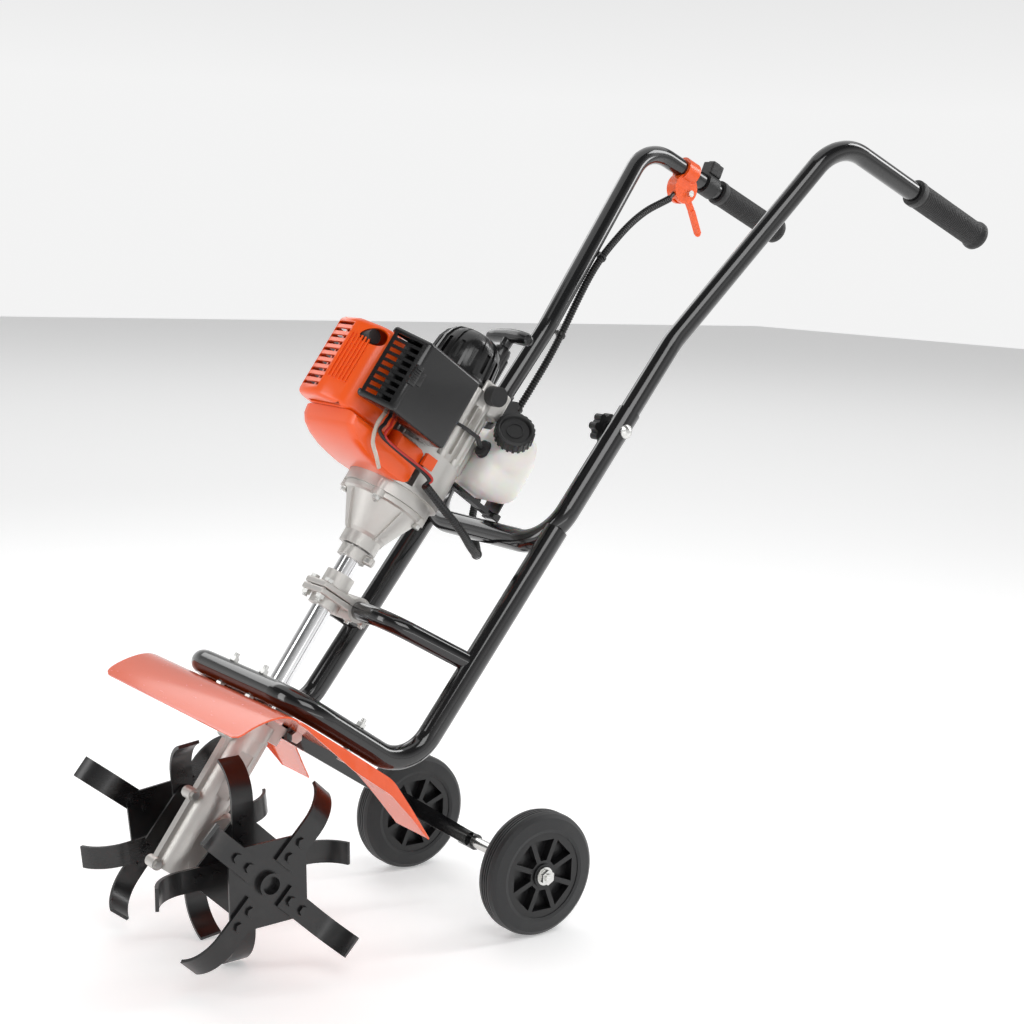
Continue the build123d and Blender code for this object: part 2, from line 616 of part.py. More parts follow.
def cover_section(inset):
    """Outline of the shroud seen along the drive tube."""
    i = inset
    return make_face(Polyline((60, -48 + i), (146 - i, -48 + i), (153 - i, -40 + i), (153 - i, 2),
                              (141 - i, 30 - i), (118 - i, 42 - i), (60, 42 - i), close=True))


def fan_cover():
    """Cover over the flywheel, joined to the crankcase by a lug on each side."""
    side_view = [(14, 96), (52, 94), (100, 103), (124, 118), (126, 130.6), (60, 130.6), (60, 146), (14, 146)]
    body = extrude(Plane.XZ * make_face(Polyline(*side_view, close=True)), 57, both=True)
    body -= zrod(53.8, 90, 101) + zrod(60.3, 95, 151) + zrod(52.3, 147, 160)
    body -= block(16, 60.2, -48, 48, 97, 143)
    body -= block(60, 120, -50, 50, 106.5, 127)
    for side in (1, -1):
        lug = block(4, 20, side * 60 - 5, side * 60 + 5, 128, 142, 2)
        body += lug - zrod(60.3, 95, 151)
    keep("fan_cover", SHAFT * body)


def filter_cover():
    """Black air filter cover with nine slats in its sloping face, and the carburettor."""
    body = Pos(0, 0, 148) * extrude(filter_section(0), 92)
    body -= Pos(0, 0, 150.5) * extrude(filter_section(2.5), 87)
    for i in range(9):
        z = 156 + i * 8.8
        body -= block(110, 134, 40, 100, z, z + 5)
    body += block(101, 108, 87, 93, 186, 206, 1.5)
    keep("filter_cover", SHAFT * body)
    keep("filter_element", SHAFT * block(28, 96, 66, 86, 156, 232, 4))
    carb = block(40, 78, 46, 59.6, 160, 206, 3) + zrod(9, 206, 218, 58, 52)
    carb += block(63, 79, 34.4, 47, 162, 192)
    keep("carburettor", SHAFT * carb)


def filter_section(inset):
    """Outline of the filter cover seen along the drive tube."""
    i = inset
    return make_face(Polyline((22 + i, 60), (22 + i, 90 - i), (103, 90 - i), (106, 89 - i),
                              (136 - i, 54), (131 - i, 49), (104, 60), close=True))


def muffler():
    """Silencer on the right side, behind a slotted black guard."""
    body = block(40, 116, -92, -54, 152, 220, 8) + block(60, 86, -55, -34.4, 165, 189)
    body += rod((50, -80, 153), (50, -80, 140), 8)
    keep("muffler", SHAFT * body)
    guard = block(30, 126, -100, -60, 144, 230, 6) - block(33, 123, -97, -50, 147, 227)
    guard -= rod((50, -80, 150), (50, -80, 130), 10)
    for i in range(7):
        z = 156 + i * 9.5
        guard -= block(60, 112, -110, -90, z, z + 4.5)
    keep("muffler_guard", SHAFT * guard)


def starter():
    """Recoil starter: cast base, ribbed dome, guide tower, pulley and T-handle on its rope."""
    base = zrod(50, 206.2, 246) - zrod(44, 212, 250) - zrod(17.5, 200, 215)
    base += block(-54, -10, 26, 48.2, 226, 262, 4) - zrod(44, 205, 250)
    base -= zrod(46.6, 246, 270)
    keep("starter_base", SHAFT * base)
    keep("tank_buffer", SHAFT * rod((-26, 48.3, 248), (-26, 63, 248), 12))
    profile = [(0, 246.2), (46, 246.2), (46, 252), (44, 258), (41, 286), (34, 302), (24, 310), (0, 311)]
    hollow = [(0, 240), (42, 240), (42, 252), (38, 284), (31, 299), (20, 306), (0, 306)]
    dome = turned(profile)
    for i in range(12):
        dome += Rot(0, 0, 30 * i + 15) * rod((43, 0, 262), (33, 0, 300), 2.2)
    dome += zrod(12, 262, 320, -38, 0) + block(-38, -20, -10, 10, 262, 306)
    dome -= turned(hollow) + zrod(4, 240, 330, -38, 0)
    dome += zrod(5, 256, 308)
    keep("starter_dome", SHAFT * dome)
    pulley = zring(29, 5.06, 262, 266) + zring(25, 5.06, 265, 270) + zring(29, 5.06, 269, 273)
    keep("recoil_pulley", SHAFT * pulley)
    handle = block(-47, -29, -41, 41, 328, 346, 6) + zrod(7, 320.4, 330, -38, 0)
    rope = zrod(2.0, 290, 324, -38, 0)
    handle -= zrod(2.0, 280, 324, -38, 0)
    keep("starter_handle", Compound(children=[SHAFT * handle, SHAFT * rope]))


def tank_neck_axis():
    return Vector(0.63, 0.70, 0.33).normalized()


def fuel_tank():
    """Translucent tank under the engine, with its filler cap, grommet and two fuel lines."""
    axis = tank_neck_axis()
    cap_top = Vector(-62, 72, 228)
    inner = fillet(block(-135, -68, -46, 53, 154, 230).edges(), 20)
    body = fillet(block(-137, -66, -48, 55, 152, 232).edges(), 22)
    body += rod(cap_top - axis * 42, cap_top - axis * 7, 16)
    body -= inner + rod(cap_top - axis * 30, cap_top, 13)
    hole = Vector(-66, 30, 196)
    body -= rod(hole - X_AXIS * 6, hole + X_AXIS * 6, 6)
    keep("fuel_tank", SHAFT * body)
    cap = rod(cap_top - axis * 18, cap_top, 24) - rod(cap_top - axis * 19, cap_top - axis * 4, 16.4)
    keep("fuel_cap", SHAFT * cap)
    grommet = rod(hole - X_AXIS * 3, hole + X_AXIS * 5, 6) + rod(hole, hole + X_AXIS * 5, 10)
    grommet -= rod(hole - X_AXIS * 9, hole + X_AXIS * 9, 4.6)
    group = [SHAFT * grommet]
    for dy in (-2.1, 2.3):
        run = [(-78, 30 + dy, 196), (-57, 31 + dy, 196), (-36, 50 + dy, 197), (-8, 58 + dy, 194),
               (22, 55 + dy, 190)]
        group.append(SHAFT * swept(run, [16, 14, 24], 1.9))
    keep("fuel_lines", Compound(children=group))


def tank_guard():
    """Black stand under the tank, resting against the frame's cross tube."""
    plate = block(-141.6, -138, -16, 16, 146, 232, 1.2)
    leg = block(-150, -139, -12, 12, 139.5, 149, 1.5)
    bar = beam((-66, 0, 146), (-143, 0, 144), 14, 6)
    keep("tank_guard", SHAFT * (plate + leg + bar))


# ---------------------------------------------------------------- controls and cable
def handle_frame(along):
    """Plane on the right grip line at a distance from its bend: z along the grip, y up."""
    top = Vector(HANDLE_TOP[0], -HANDLE_TOP[1], HANDLE_TOP[2])
    end = Vector(HANDLE_END[0], -HANDLE_END[1], HANDLE_END[2])
    axis = (end - top).normalized()
    side = Vector(0, 0, 1).cross(axis).normalized()
    return Plane(origin=top + axis * along, x_dir=side, z_dir=axis)


def controls():
    """Throttle pod with its lever, and a switch block with its rocker, on the right handle."""
    pod = handle_frame(84)
    r = HANDLE_D / 2
    pivot = Vector(0, -29, 10)
    body = zring(17, r, -11, 11) + rod((-9, -25, 2), (9, -25, 2), 21)
    body -= rod((-3.4, pivot.Y, pivot.Z), (3.4, pivot.Y, pivot.Z), 13.5)
    body -= block(-3.4, 3.4, -60, -18, 0, 40) + block(-3.4, 3.4, -60, -32, -6, 10)
    body -= zrod(r, -40, 40) + rod((-20, pivot.Y, pivot.Z), (20, pivot.Y, pivot.Z), 2.5)
    keep("throttle_pod", pod.location * body)
    screw = rod((-13, pivot.Y, pivot.Z), (9.5, pivot.Y, pivot.Z), 2.5) + rod((-14, pivot.Y, pivot.Z),
                                                                          (-9, pivot.Y, pivot.Z), 4.5)
    engine_screws.append(pod.location * screw)
    tip = Vector(0, -69, 58)
    knee = Vector(0, -45, 32)
    lever = rod((-2.9, pivot.Y, pivot.Z), (2.9, pivot.Y, pivot.Z), 9)
    lever += blade_bar(pivot, knee, 5.6, 8) + blade_bar(knee, tip, 9, 6) + Pos(*tip) * Sphere(4.4)
    lever -= rod((-12, pivot.Y, pivot.Z), (12, pivot.Y, pivot.Z), 2.56)
    keep("throttle_lever", pod.location * lever)
    switch = handle_frame(128)
    body = zring(16.5, r, -11, 11) + block(-11, 11, 14, 32, -11, 11, 2)
    body -= zrod(r, -40, 40) + block(-6, 6, 24, 40, -8, 8)
    body += rod((-7, 29.5, 0), (7, 29.5, 0), 1.5)
    keep("switch_block", switch.location * body)
    rocker = rod((-5.6, 29.5, 0), (5.6, 29.5, 0), 4.4) + block(-5.6, 5.6, 30, 34.5, -6.2, 6.2)
    keep("switch_rocker", switch.location * (rocker - rod((-7, 29.5, 0), (7, 29.5, 0), 1.56)))


def blade_bar(start, end, width, depth):
    """Rectangular bar between two points, its width across the handle."""
    run = end - start
    return Plane(origin=start, x_dir=(1, 0, 0), z_dir=run) * Box(
        width, depth, run.length, align=(Align.CENTER, Align.CENTER, Align.MIN))


def loom_points():
    """Route of the corrugated sleeve: along the right handle, under the cross tube, to the engine."""
    away = Vector(-sin(radians(FRAME_ANGLE)), 0, -cos(radians(FRAME_ANGLE))) * 26
    a = AXLE_X
    along_tube = []
    for s, y in ((560, -124), (500, -119), (440, -117), (385, -113)):
        p = vec(on_upright(s, y)) + away
        along_tube.append((p.X, p.Y, p.Z))
    from_pod = [(a - 424, -172, 884), (a - 372, -165, 862), (a - 318, -150, 829), (a - 262, -136, 778)]
    under_tube = [(a - 66, -100, 504), (a - 34, -70, 462), (a - 14, -30, 439), (a + 10, 4, 437)]
    to_engine = [(a + 38, 30, 452), (a + 68, 52, 476), (a + 102, 66, 504), (a + 136, 74, 536)]
    return from_pod + along_tube + under_tube + to_engine


def loom():
    pts = [vec(p) for p in loom_points()]
    radii = []
    for before, here, after in zip(pts, pts[1:], pts[2:]):
        turn = (here - before).get_angle(after - here)
        run = min((here - before).length, (after - here).length)
        radii.append(0.45 * run / tan(radians(turn / 2)))
    path = FilletPolyline(*loom_points(), radius=radii)
    sleeve = sweep(Plane(origin=path @ 0, z_dir=path % 0) * Circle(CABLE_D / 2), path=path)
    print("loom radii", [round(r) for r in radii], "length", round(path.length),
          "volume ratio", round(sleeve.volume / (path.length * pi * (CABLE_D / 2) ** 2), 4))
    keep("cable_sleeve", sleeve)


def main():
    frame_tubes()
    handles()
    handle_clamps()
    fender()
    fender_bolts()
    wheel_arm()
    wheel(1, "left")
    wheel(-1, "right")
    gearbox()
    tines()
    drive_line()
    shaft_clamp()
    tube_collar()
    clutch_housing()
    crankcase()
    crank_assembly()
    cylinder()
    cylinder_cover()
    fan_cover()
    filter_cover()
    muffler()
    starter()
    fuel_tank()
    tank_guard()
    controls()
    loom()
    keep("frame_bolts", Compound(children=frame_bolts))
    keep("engine_screws", Compound(children=engine_screws))
    os.makedirs("parts", exist_ok=True)
    for name, shape in parts.items():
        export_step(shape, "parts/%s.step" % name)
    box = Compound(children=list(parts.values())).bounding_box()
    print("nodes", len(parts), "box", box.min, box.max)


main()
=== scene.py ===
# %% [markdown]
# # A mini cultivator, finished in Blender
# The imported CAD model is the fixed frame: every tube, casting, wheel and blade is already in its
# place and joined to the part it moves with. This lesson gives each of those pieces a finish, and
# builds in mesh code the pieces whose look needs more than a plain solid: the pressed fender, the
# moulded covers, the tank, the starter, the grips and the corrugated cable sleeve.

# %% Load the frame
import json
from math import cos, degrees, pi, radians, sin, sqrt
import bmesh
import bpy
from mathutils import Matrix, Vector


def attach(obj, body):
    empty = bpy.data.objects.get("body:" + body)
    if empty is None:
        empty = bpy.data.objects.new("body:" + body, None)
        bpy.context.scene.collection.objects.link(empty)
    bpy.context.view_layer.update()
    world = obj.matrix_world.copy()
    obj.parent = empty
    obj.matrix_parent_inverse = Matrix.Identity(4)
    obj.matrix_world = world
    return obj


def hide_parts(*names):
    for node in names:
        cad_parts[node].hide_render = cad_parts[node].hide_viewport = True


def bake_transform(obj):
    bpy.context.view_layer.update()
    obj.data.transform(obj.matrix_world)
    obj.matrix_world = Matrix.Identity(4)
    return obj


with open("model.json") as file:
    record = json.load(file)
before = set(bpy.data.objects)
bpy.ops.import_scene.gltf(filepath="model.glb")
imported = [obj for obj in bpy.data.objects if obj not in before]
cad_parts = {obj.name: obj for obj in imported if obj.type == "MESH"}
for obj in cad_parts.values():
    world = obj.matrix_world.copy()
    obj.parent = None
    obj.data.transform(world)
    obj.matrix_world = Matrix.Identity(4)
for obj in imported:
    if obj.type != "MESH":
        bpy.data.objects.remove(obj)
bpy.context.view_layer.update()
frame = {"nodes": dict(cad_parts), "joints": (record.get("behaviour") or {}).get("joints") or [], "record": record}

nodes = frame["nodes"]
joints = {joint["name"]: joint for joint in frame["joints"]}

# %% [markdown]
# ## Two working frames
# Most engine pieces lie square to the drive tube, which leans back. Working in the tube's own
# frame keeps their shapes simple, so ENGINE turns millimetres counted forward, left and up the
# tube into world metres. The frame's joints say where that axis is: the crank turns about it.

# %% Engine frame
LEFT = Vector((0, 1, 0))
TUBE_AXIS = Vector(joints["crank_spin"]["axis"]).normalized()
CRANK_HEIGHT = 0.120                      # of the crank joint's point above the frame's zero
TUBE_ZERO = Vector(joints["crank_spin"]["pos_m"]) - TUBE_AXIS * CRANK_HEIGHT
FORWARD = LEFT.cross(TUBE_AXIS)
turn = Matrix((FORWARD, LEFT, TUBE_AXIS)).transposed().to_4x4()
ENGINE = Matrix.Translation(TUBE_ZERO) @ turn @ Matrix.Scale(0.001, 4)
MACHINE = Matrix.Scale(0.001, 4)          # world axes, millimetres
AXLE_X = joints["wheel_left_spin"]["pos_m"][0] * 1000
print("drive tube rises at", round(90 - degrees(TUBE_AXIS.angle(Vector((0, 0, 1)))), 2), "degrees")

# %% [markdown]
# ## Camera, light and floor
# The camera stands in front of the machine on its left side, a little above the handles' height,
# and looks slightly down. Black enamel only shows its shape in what it reflects, so the lights
# are long soft boxes, as in a studio: they draw thin bright lines along the tubes.

# %% Camera
EYE = Vector((AXLE_X + 1281.6, 1765.7, 807.7)) * 0.001
YAW, PITCH, ROLL = radians(233.1), radians(-8.3), radians(-2.5)
look = Vector((cos(YAW) * cos(PITCH), sin(YAW) * cos(PITCH), sin(PITCH)))
level = Vector((sin(YAW), -cos(YAW), 0))
right = level * cos(ROLL) + look.cross(level) * sin(ROLL)
camera_data = bpy.data.cameras.new("camera")
camera_data.lens = 63.77
camera_data.sensor_width = 36
camera = bpy.data.objects.new("camera", camera_data)
stance = Matrix((right, right.cross(look), -look)).transposed().to_4x4()
camera.matrix_world = Matrix.Translation(EYE) @ stance
bpy.context.scene.collection.objects.link(camera)
bpy.context.scene.camera = camera
print("camera", [round(v, 3) for v in EYE])


# %% Lights and floor
def soft_box(name, place, aim, width, height, power):
    """Rectangular area light that faces a point."""
    data = bpy.data.lights.new(name, "AREA")
    data.shape = "RECTANGLE"
    data.size, data.size_y, data.energy = width, height, power
    light = bpy.data.objects.new(name, data)
    light.location = place
    light.rotation_euler = (Vector(aim) - Vector(place)).to_track_quat("-Z", "Y").to_euler()
    bpy.context.scene.collection.objects.link(light)


# The boxes aim at the middle of the machine, apart from the low one and the overhead fill.
MIDDLE = (0.05, 0, 0.45)
soft_box("key_light", (0.9, 1.9, 2.3), MIDDLE, 1.6, 1.2, 20)
soft_box("rear_light", (-1.9, 0.7, 1.7), MIDDLE, 0.5, 2.0, 20)
soft_box("front_light", (2.5, -0.3, 1.3), MIDDLE, 0.7, 1.8, 14)
soft_box("far_light", (0.1, -2.2, 1.9), MIDDLE, 2.4, 0.8, 12)
soft_box("low_light", (0.9, 2.4, 0.35), (0.2, 0, 0.2), 1.8, 0.35, 4)
soft_box("overhead_fill", (-2.5, -3.0, 6.0), (-2.5, -3.0, 0), 9.0, 9.0, 220)

world = bpy.data.worlds.new("studio")
bpy.context.scene.world = world
world.use_nodes = True
sky = world.node_tree.nodes["Background"]
sky.inputs["Strength"].default_value = 0.9
direction = world.node_tree.nodes.new("ShaderNodeTexCoord")
split = world.node_tree.nodes.new("ShaderNodeSeparateXYZ")
fall = world.node_tree.nodes.new("ShaderNodeMapRange")
for label, value in (("From Min", 0.08), ("From Max", 0.6), ("To Min", 1.0), ("To Max", 0.16)):
    fall.inputs[label].default_value = value
world.node_tree.links.new(direction.outputs["Generated"], split.inputs["Vector"])
world.node_tree.links.new(split.outputs["Z"], fall.inputs["Value"])
world.node_tree.links.new(fall.outputs["Result"], sky.inputs["Color"])
bpy.context.scene.view_settings.view_transform = "Standard"

FLOOR = 14.0                              # half the floor's side
floor_mesh = bpy.data.meshes.new("floor")
floor_mesh.from_pydata([(-FLOOR, -FLOOR, 0), (FLOOR, -FLOOR, 0), (FLOOR, FLOOR, 0), (-FLOOR, FLOOR, 0)],
                       [], [(0, 1, 2, 3)])
floor = bpy.data.objects.new("floor", floor_mesh)
floor.location.z = -0.0005                # just under the tyres, so the two never fight
bpy.context.scene.collection.objects.link(floor)
print("lights", len(bpy.data.lights))

# %% [markdown]
# ## Effects that several finishes share
# Real surfaces are never one flat value. Four small node groups hold the effects that more than
# one finish needs: a fine moulded grain, the skin of a sand or die casting, the orange-peel of
# sprayed enamel, and the faint scuffs and dust of handling. Each takes its sizes as inputs and
# puts out a height or a mask, so every finish can mix them in its own strength.


# %% Node group helpers
def new_group(name, inputs, outputs):
    """Empty shader node group with float inputs and outputs; returns its tree and end nodes."""
    tree = bpy.data.node_groups.new(name, "ShaderNodeTree")
    for label, value in inputs.items():
        socket = tree.interface.new_socket(label, in_out="INPUT", socket_type="NodeSocketFloat")
        socket.default_value = value
    for label in outputs:
        tree.interface.new_socket(label, in_out="OUTPUT", socket_type="NodeSocketFloat")
    return tree, tree.nodes.new("NodeGroupInput"), tree.nodes.new("NodeGroupOutput")


def place_noise(tree, coords, scale, detail, rough=0.5, scale_from=None, factor=1.0):
    """Noise texture on object coordinates, its scale from a group input where one is given."""
    tex = tree.nodes.new("ShaderNodeTexNoise")
    tex.inputs["Detail"].default_value = detail
    tex.inputs["Roughness"].default_value = rough
    tex.inputs["Scale"].default_value = scale
    tree.links.new(coords, tex.inputs["Vector"])
    if scale_from is not None:
        times = calc(tree, "MULTIPLY", scale_from, factor)
        tree.links.new(times, tex.inputs["Scale"])
    return tex.outputs["Fac"]


def calc(tree, operation, a, b=0.0, clamp=False):
    """Math node on two values or sockets; returns its output."""
    node = tree.nodes.new("ShaderNodeMath")
    node.operation = operation
    node.use_clamp = clamp
    for socket, value in zip(node.inputs, (a, b)):
        if isinstance(value, (int, float)):
            socket.default_value = value
        else:
            tree.links.new(value, socket)
    return node.outputs[0]


def object_coords(tree, stretch=(1, 1, 1)):
    """Object coordinates, stretched for a grain that has a direction."""
    coords = tree.nodes.new("ShaderNodeTexCoord")
    mapping = tree.nodes.new("ShaderNodeMapping")
    mapping.inputs["Scale"].default_value = stretch
    tree.links.new(coords.outputs["Object"], mapping.inputs["Vector"])
    return mapping.outputs["Vector"]


# %% Moulded grain: fine spark-eroded texture of plastic parts
grain, grain_in, grain_out = new_group("moulded_grain", {"Scale": 900.0}, ["Height", "Tone"])
vector = object_coords(grain)
fine = place_noise(grain, vector, 900, 3, 0.6, grain_in.outputs["Scale"])
broad = place_noise(grain, vector, 30, 4, 0.5, grain_in.outputs["Scale"], 0.02)
grain.links.new(fine, grain_out.inputs["Height"])
grain.links.new(broad, grain_out.inputs["Tone"])

# %% Cast skin: coarse lumps, fine pits and blotchy tone of an aluminium casting
cast, cast_in, cast_out = new_group("cast_skin", {"Scale": 420.0}, ["Height", "Tone"])
vector = object_coords(cast)
lumps = place_noise(cast, vector, 400, 5, 0.65, cast_in.outputs["Scale"])
pits = cast.nodes.new("ShaderNodeTexVoronoi")
pits.feature = "SMOOTH_F1"
cast.links.new(vector, pits.inputs["Vector"])
cast.links.new(calc(cast, "MULTIPLY", cast_in.outputs["Scale"], 2.2), pits.inputs["Scale"])
raised = calc(cast, "MULTIPLY", lumps, 0.7)
sunken = calc(cast, "MULTIPLY", pits.outputs["Distance"], 0.5)
skin = calc(cast, "ADD", raised, sunken)
cast.links.new(skin, cast_out.inputs["Height"])
cast.links.new(place_noise(cast, vector, 14, 6, 0.6), cast_out.inputs["Tone"])

# %% Orange peel: the slow waviness of sprayed enamel
peel, peel_in, peel_out = new_group("orange_peel", {"Scale": 260.0}, ["Height", "Tone"])
vector = object_coords(peel)
waves = place_noise(peel, vector, 260, 2, 0.4, peel_in.outputs["Scale"])
peel.links.new(waves, peel_out.inputs["Height"])
peel.links.new(place_noise(peel, vector, 7, 5, 0.6), peel_out.inputs["Tone"])

# %% Handling: long faint scuffs and settled dust
marks, marks_in, marks_out = new_group("handling_marks", {"Amount": 0.5}, ["Scuff", "Dust"])
streaks = place_noise(marks, object_coords(marks, (1, 1, 9)), 55, 6, 0.7)
scuff = calc(marks, "MULTIPLY", calc(marks, "SUBTRACT", streaks, 0.56, True), 5.0, True)
marks.links.new(calc(marks, "MULTIPLY", scuff, marks_in.outputs["Amount"]), marks_out.inputs["Scuff"])
cloud = place_noise(marks, object_coords(marks), 18, 8, 0.7)
dust = calc(marks, "MULTIPLY", calc(marks, "SUBTRACT", cloud, 0.5, True), 3.0, True)
marks.links.new(calc(marks, "MULTIPLY", dust, marks_in.outputs["Amount"]), marks_out.inputs["Dust"])
print("node groups", [group.name for group in bpy.data.node_groups])

# %% [markdown]
# ## Finishes
# One recipe builds every finish: a base colour that drifts slightly with the group's tone and takes a film of
# dust, a roughness that rises where the surface is scuffed, and a bump from the group's height.
# What makes a finish itself is which group it uses and how strongly, plus metal, coat or sheen,
# which stay plain numbers on the shader so that they survive export.


# %% One recipe for all finishes
def finish(name, colour, rough, group, depth, scale=None, metal=0.0, drift=0.12, wear=0.3,
           dusty=(0.33, 0.31, 0.28), dust_mix=0.06, **plain):
    """Material from a shared surface group; `plain` sets fixed numbers on the shader itself."""
    mat = bpy.data.materials.new(name)
    mat.use_nodes = True
    tree = mat.node_tree
    shader = tree.nodes["Principled BSDF"]
    shader.inputs["Metallic"].default_value = metal
    for label, value in plain.items():
        shader.inputs[label.replace("_", " ")].default_value = value
    surface = tree.nodes.new("ShaderNodeGroup")
    surface.node_tree = group
    if scale:
        surface.inputs["Scale"].default_value = scale
    handled = tree.nodes.new("ShaderNodeGroup")
    handled.node_tree = marks
    handled.inputs["Amount"].default_value = wear
    tone = tree.nodes.new("ShaderNodeMix")
    tone.data_type = "RGBA"
    tone.inputs["A"].default_value = (*[c * (1 - drift) for c in colour], 1)
    tone.inputs["B"].default_value = (*[min(1, c * (1 + drift)) for c in colour], 1)
    tree.links.new(surface.outputs["Tone"], tone.inputs["Factor"])
    film = tree.nodes.new("ShaderNodeMix")
    film.data_type = "RGBA"
    film.inputs["B"].default_value = (*dusty, 1)
    tree.links.new(tone.outputs["Result"], film.inputs["A"])
    tree.links.new(calc(tree, "MULTIPLY", handled.outputs["Dust"], dust_mix), film.inputs["Factor"])
    tree.links.new(film.outputs["Result"], shader.inputs["Base Color"])
    worn = calc(tree, "ADD", calc(tree, "MULTIPLY", handled.outputs["Scuff"], 0.22),
                calc(tree, "MULTIPLY", surface.outputs["Tone"], 0.08))
    tree.links.new(calc(tree, "ADD", worn, rough - 0.04, True), shader.inputs["Roughness"])
    bump = tree.nodes.new("ShaderNodeBump")
    bump.inputs["Strength"].default_value = depth
    bump.inputs["Distance"].default_value = 0.0004
    tree.links.new(surface.outputs["Height"], bump.inputs["Height"])
    tree.links.new(bump.outputs["Normal"], shader.inputs["Normal"])
    return mat


# %% Finishes of the machine
black_enamel = finish("black_enamel", (0.004, 0.004, 0.0045), 0.14, peel, 0.05, Coat_Weight=0.6,
                      Coat_Roughness=0.06)
tine_black = finish("tine_black", (0.005, 0.005, 0.0055), 0.28, peel, 0.10, 300, wear=0.7, Coat_Weight=0.25,
                    Coat_Roughness=0.2)
orange_enamel = finish("orange_enamel", (0.80, 0.085, 0.006), 0.24, peel, 0.05, 240, drift=0.05,
                       dust_mix=0.03, Coat_Weight=0.5, Coat_Roughness=0.08)
orange_plastic = finish("orange_plastic", (0.85, 0.092, 0.004), 0.3, peel, 0.04, 500, drift=0.04,
                        dust_mix=0.03, Coat_Weight=0.25, Coat_Roughness=0.15)
black_moulding = finish("black_moulding", (0.008, 0.008, 0.0085), 0.46, grain, 0.35, 1100)
gloss_moulding = finish("gloss_moulding", (0.004, 0.004, 0.0045), 0.24, grain, 0.05, 500, Coat_Weight=0.3,
                        Coat_Roughness=0.12)
cast_metal = finish("cast_metal", (0.58, 0.565, 0.54), 0.42, cast, 0.55, 420, metal=0.85, drift=0.16,
                    dusty=(0.25, 0.23, 0.2), dust_mix=0.35)
bright_tube = finish("bright_tube", (0.80, 0.80, 0.81), 0.15, grain, 0.04, 600, metal=1.0, drift=0.03)
zinc_plate = finish("zinc_plate", (0.70, 0.70, 0.68), 0.28, grain, 0.12, 700, metal=1.0, drift=0.08)
machined_steel = finish("machined_steel", (0.46, 0.46, 0.46), 0.34, grain, 0.15, 700, metal=1.0)
bronze = finish("bronze", (0.60, 0.38, 0.16), 0.35, grain, 0.12, 500, metal=1.0)
grip_rubber = finish("grip_rubber", (0.008, 0.008, 0.0085), 0.62, grain, 0.5, 1300, dust_mix=0.12,
                     Sheen_Weight=0.15, Sheen_Roughness=0.5)
tyre_rubber = finish("tyre_rubber", (0.011, 0.0115, 0.0125), 0.55, grain, 0.5, 900, dust_mix=0.16,
                     Sheen_Weight=0.12, Sheen_Roughness=0.5)
hub_plastic = finish("hub_plastic", (0.005, 0.005, 0.0055), 0.34, grain, 0.12, 600)
tank_plastic = finish("tank_plastic", (0.88, 0.865, 0.83), 0.30, grain, 0.06, 300, drift=0.03, dust_mix=0.02,
                      Subsurface_Weight=0.6, Subsurface_Scale=0.02)
sleeve_plastic = finish("sleeve_plastic", (0.007, 0.007, 0.0075), 0.38, grain, 0.1, 900)
clear_hose = finish("clear_hose", (0.72, 0.68, 0.60), 0.22, grain, 0.05, 500, drift=0.05,
                    Transmission_Weight=0.4)
foam = finish("foam", (0.05, 0.05, 0.05), 0.9, grain, 1.0, 350)
red_wire = finish("red_wire", (0.45, 0.02, 0.015), 0.35, grain, 0.05, 600)
print("finishes", len(bpy.data.materials))

floor_paint = finish("studio_floor", (0.93, 0.93, 0.93), 0.6, grain, 0.02, 40, drift=0.01, dust_mix=0.0,
                     Emission_Strength=0.3)
floor_paint.node_tree.nodes["Principled BSDF"].inputs["Emission Color"].default_value = (1, 1, 1, 1)
floor_mesh.materials.append(floor_paint)

BY_SLOT = {
    "black_frame_paint": black_enamel, "tine_paint": tine_black, "orange_paint": orange_enamel,
    "orange_plastic": orange_plastic, "black_plastic": black_moulding, "black_gloss_plastic": gloss_moulding,
    "cast_aluminium": cast_metal, "bright_tube": bright_tube, "zinc": zinc_plate, "steel": machined_steel,
    "bronze": bronze, "rubber": grip_rubber, "tyre_rubber": tyre_rubber, "wheel_plastic": hub_plastic,
    "tank_plastic": tank_plastic, "filter_foam": foam, "cable_plastic": sleeve_plastic,
}

# %% [markdown]
# ## The pieces that stay as the CAD made them
# Tubes, castings, wheels, blades and bolts already have the right shape. They only need smooth
# shading up to a crease angle, so that round walls look round and machined edges stay crisp, and
# the finish of their slot.

# %% Finish the CAD pieces
CREASE = radians(32)


def shade(mesh, crease=CREASE):
    """Smooth shading that stops at edges sharper than the crease angle."""
    mesh.polygons.foreach_set("use_smooth", [True] * len(mesh.polygons))
    mesh.set_sharp_from_angle(angle=crease)


for row in frame["record"]["subparts"]:
    node = nodes[row["node"]]
    node.data.materials.clear()
    node.data.materials.append(BY_SLOT[row["material_slot"]])
    shade(node.data)
# The visible ends of the tine shaft are painted with the blades.
nodes["tine_shaft"].data.materials.clear()
nodes["tine_shaft"].data.materials.append(tine_black)

# %% [markdown]
# ## How the made pieces are put together
# Every made piece is drawn in millimetres in one of the two working frames, turned into world
# metres, given its finish, shaded, and attached to the body it rides on; the CAD nodes it stands
# for are hidden. Hard edges get a small bevel, because no real edge is perfectly
# sharp and the thin highlight along it is what makes moulded and cast parts read as solid.


# %% Mesh tools
def prism(outline, low, high):
    """Closed solid from an outline in x and y, between two heights."""
    bm = bmesh.new()
    base = [bm.verts.new((x, y, low)) for x, y in outline]
    top = [bm.verts.new((x, y, high)) for x, y in outline]
    bm.faces.new(reversed(base))
    bm.faces.new(top)
    for i, corner in enumerate(base):
        after = (i + 1) % len(base)
        bm.faces.new((corner, base[after], top[after], top[i]))
    bmesh.ops.recalc_face_normals(bm, faces=bm.faces)
    return bm


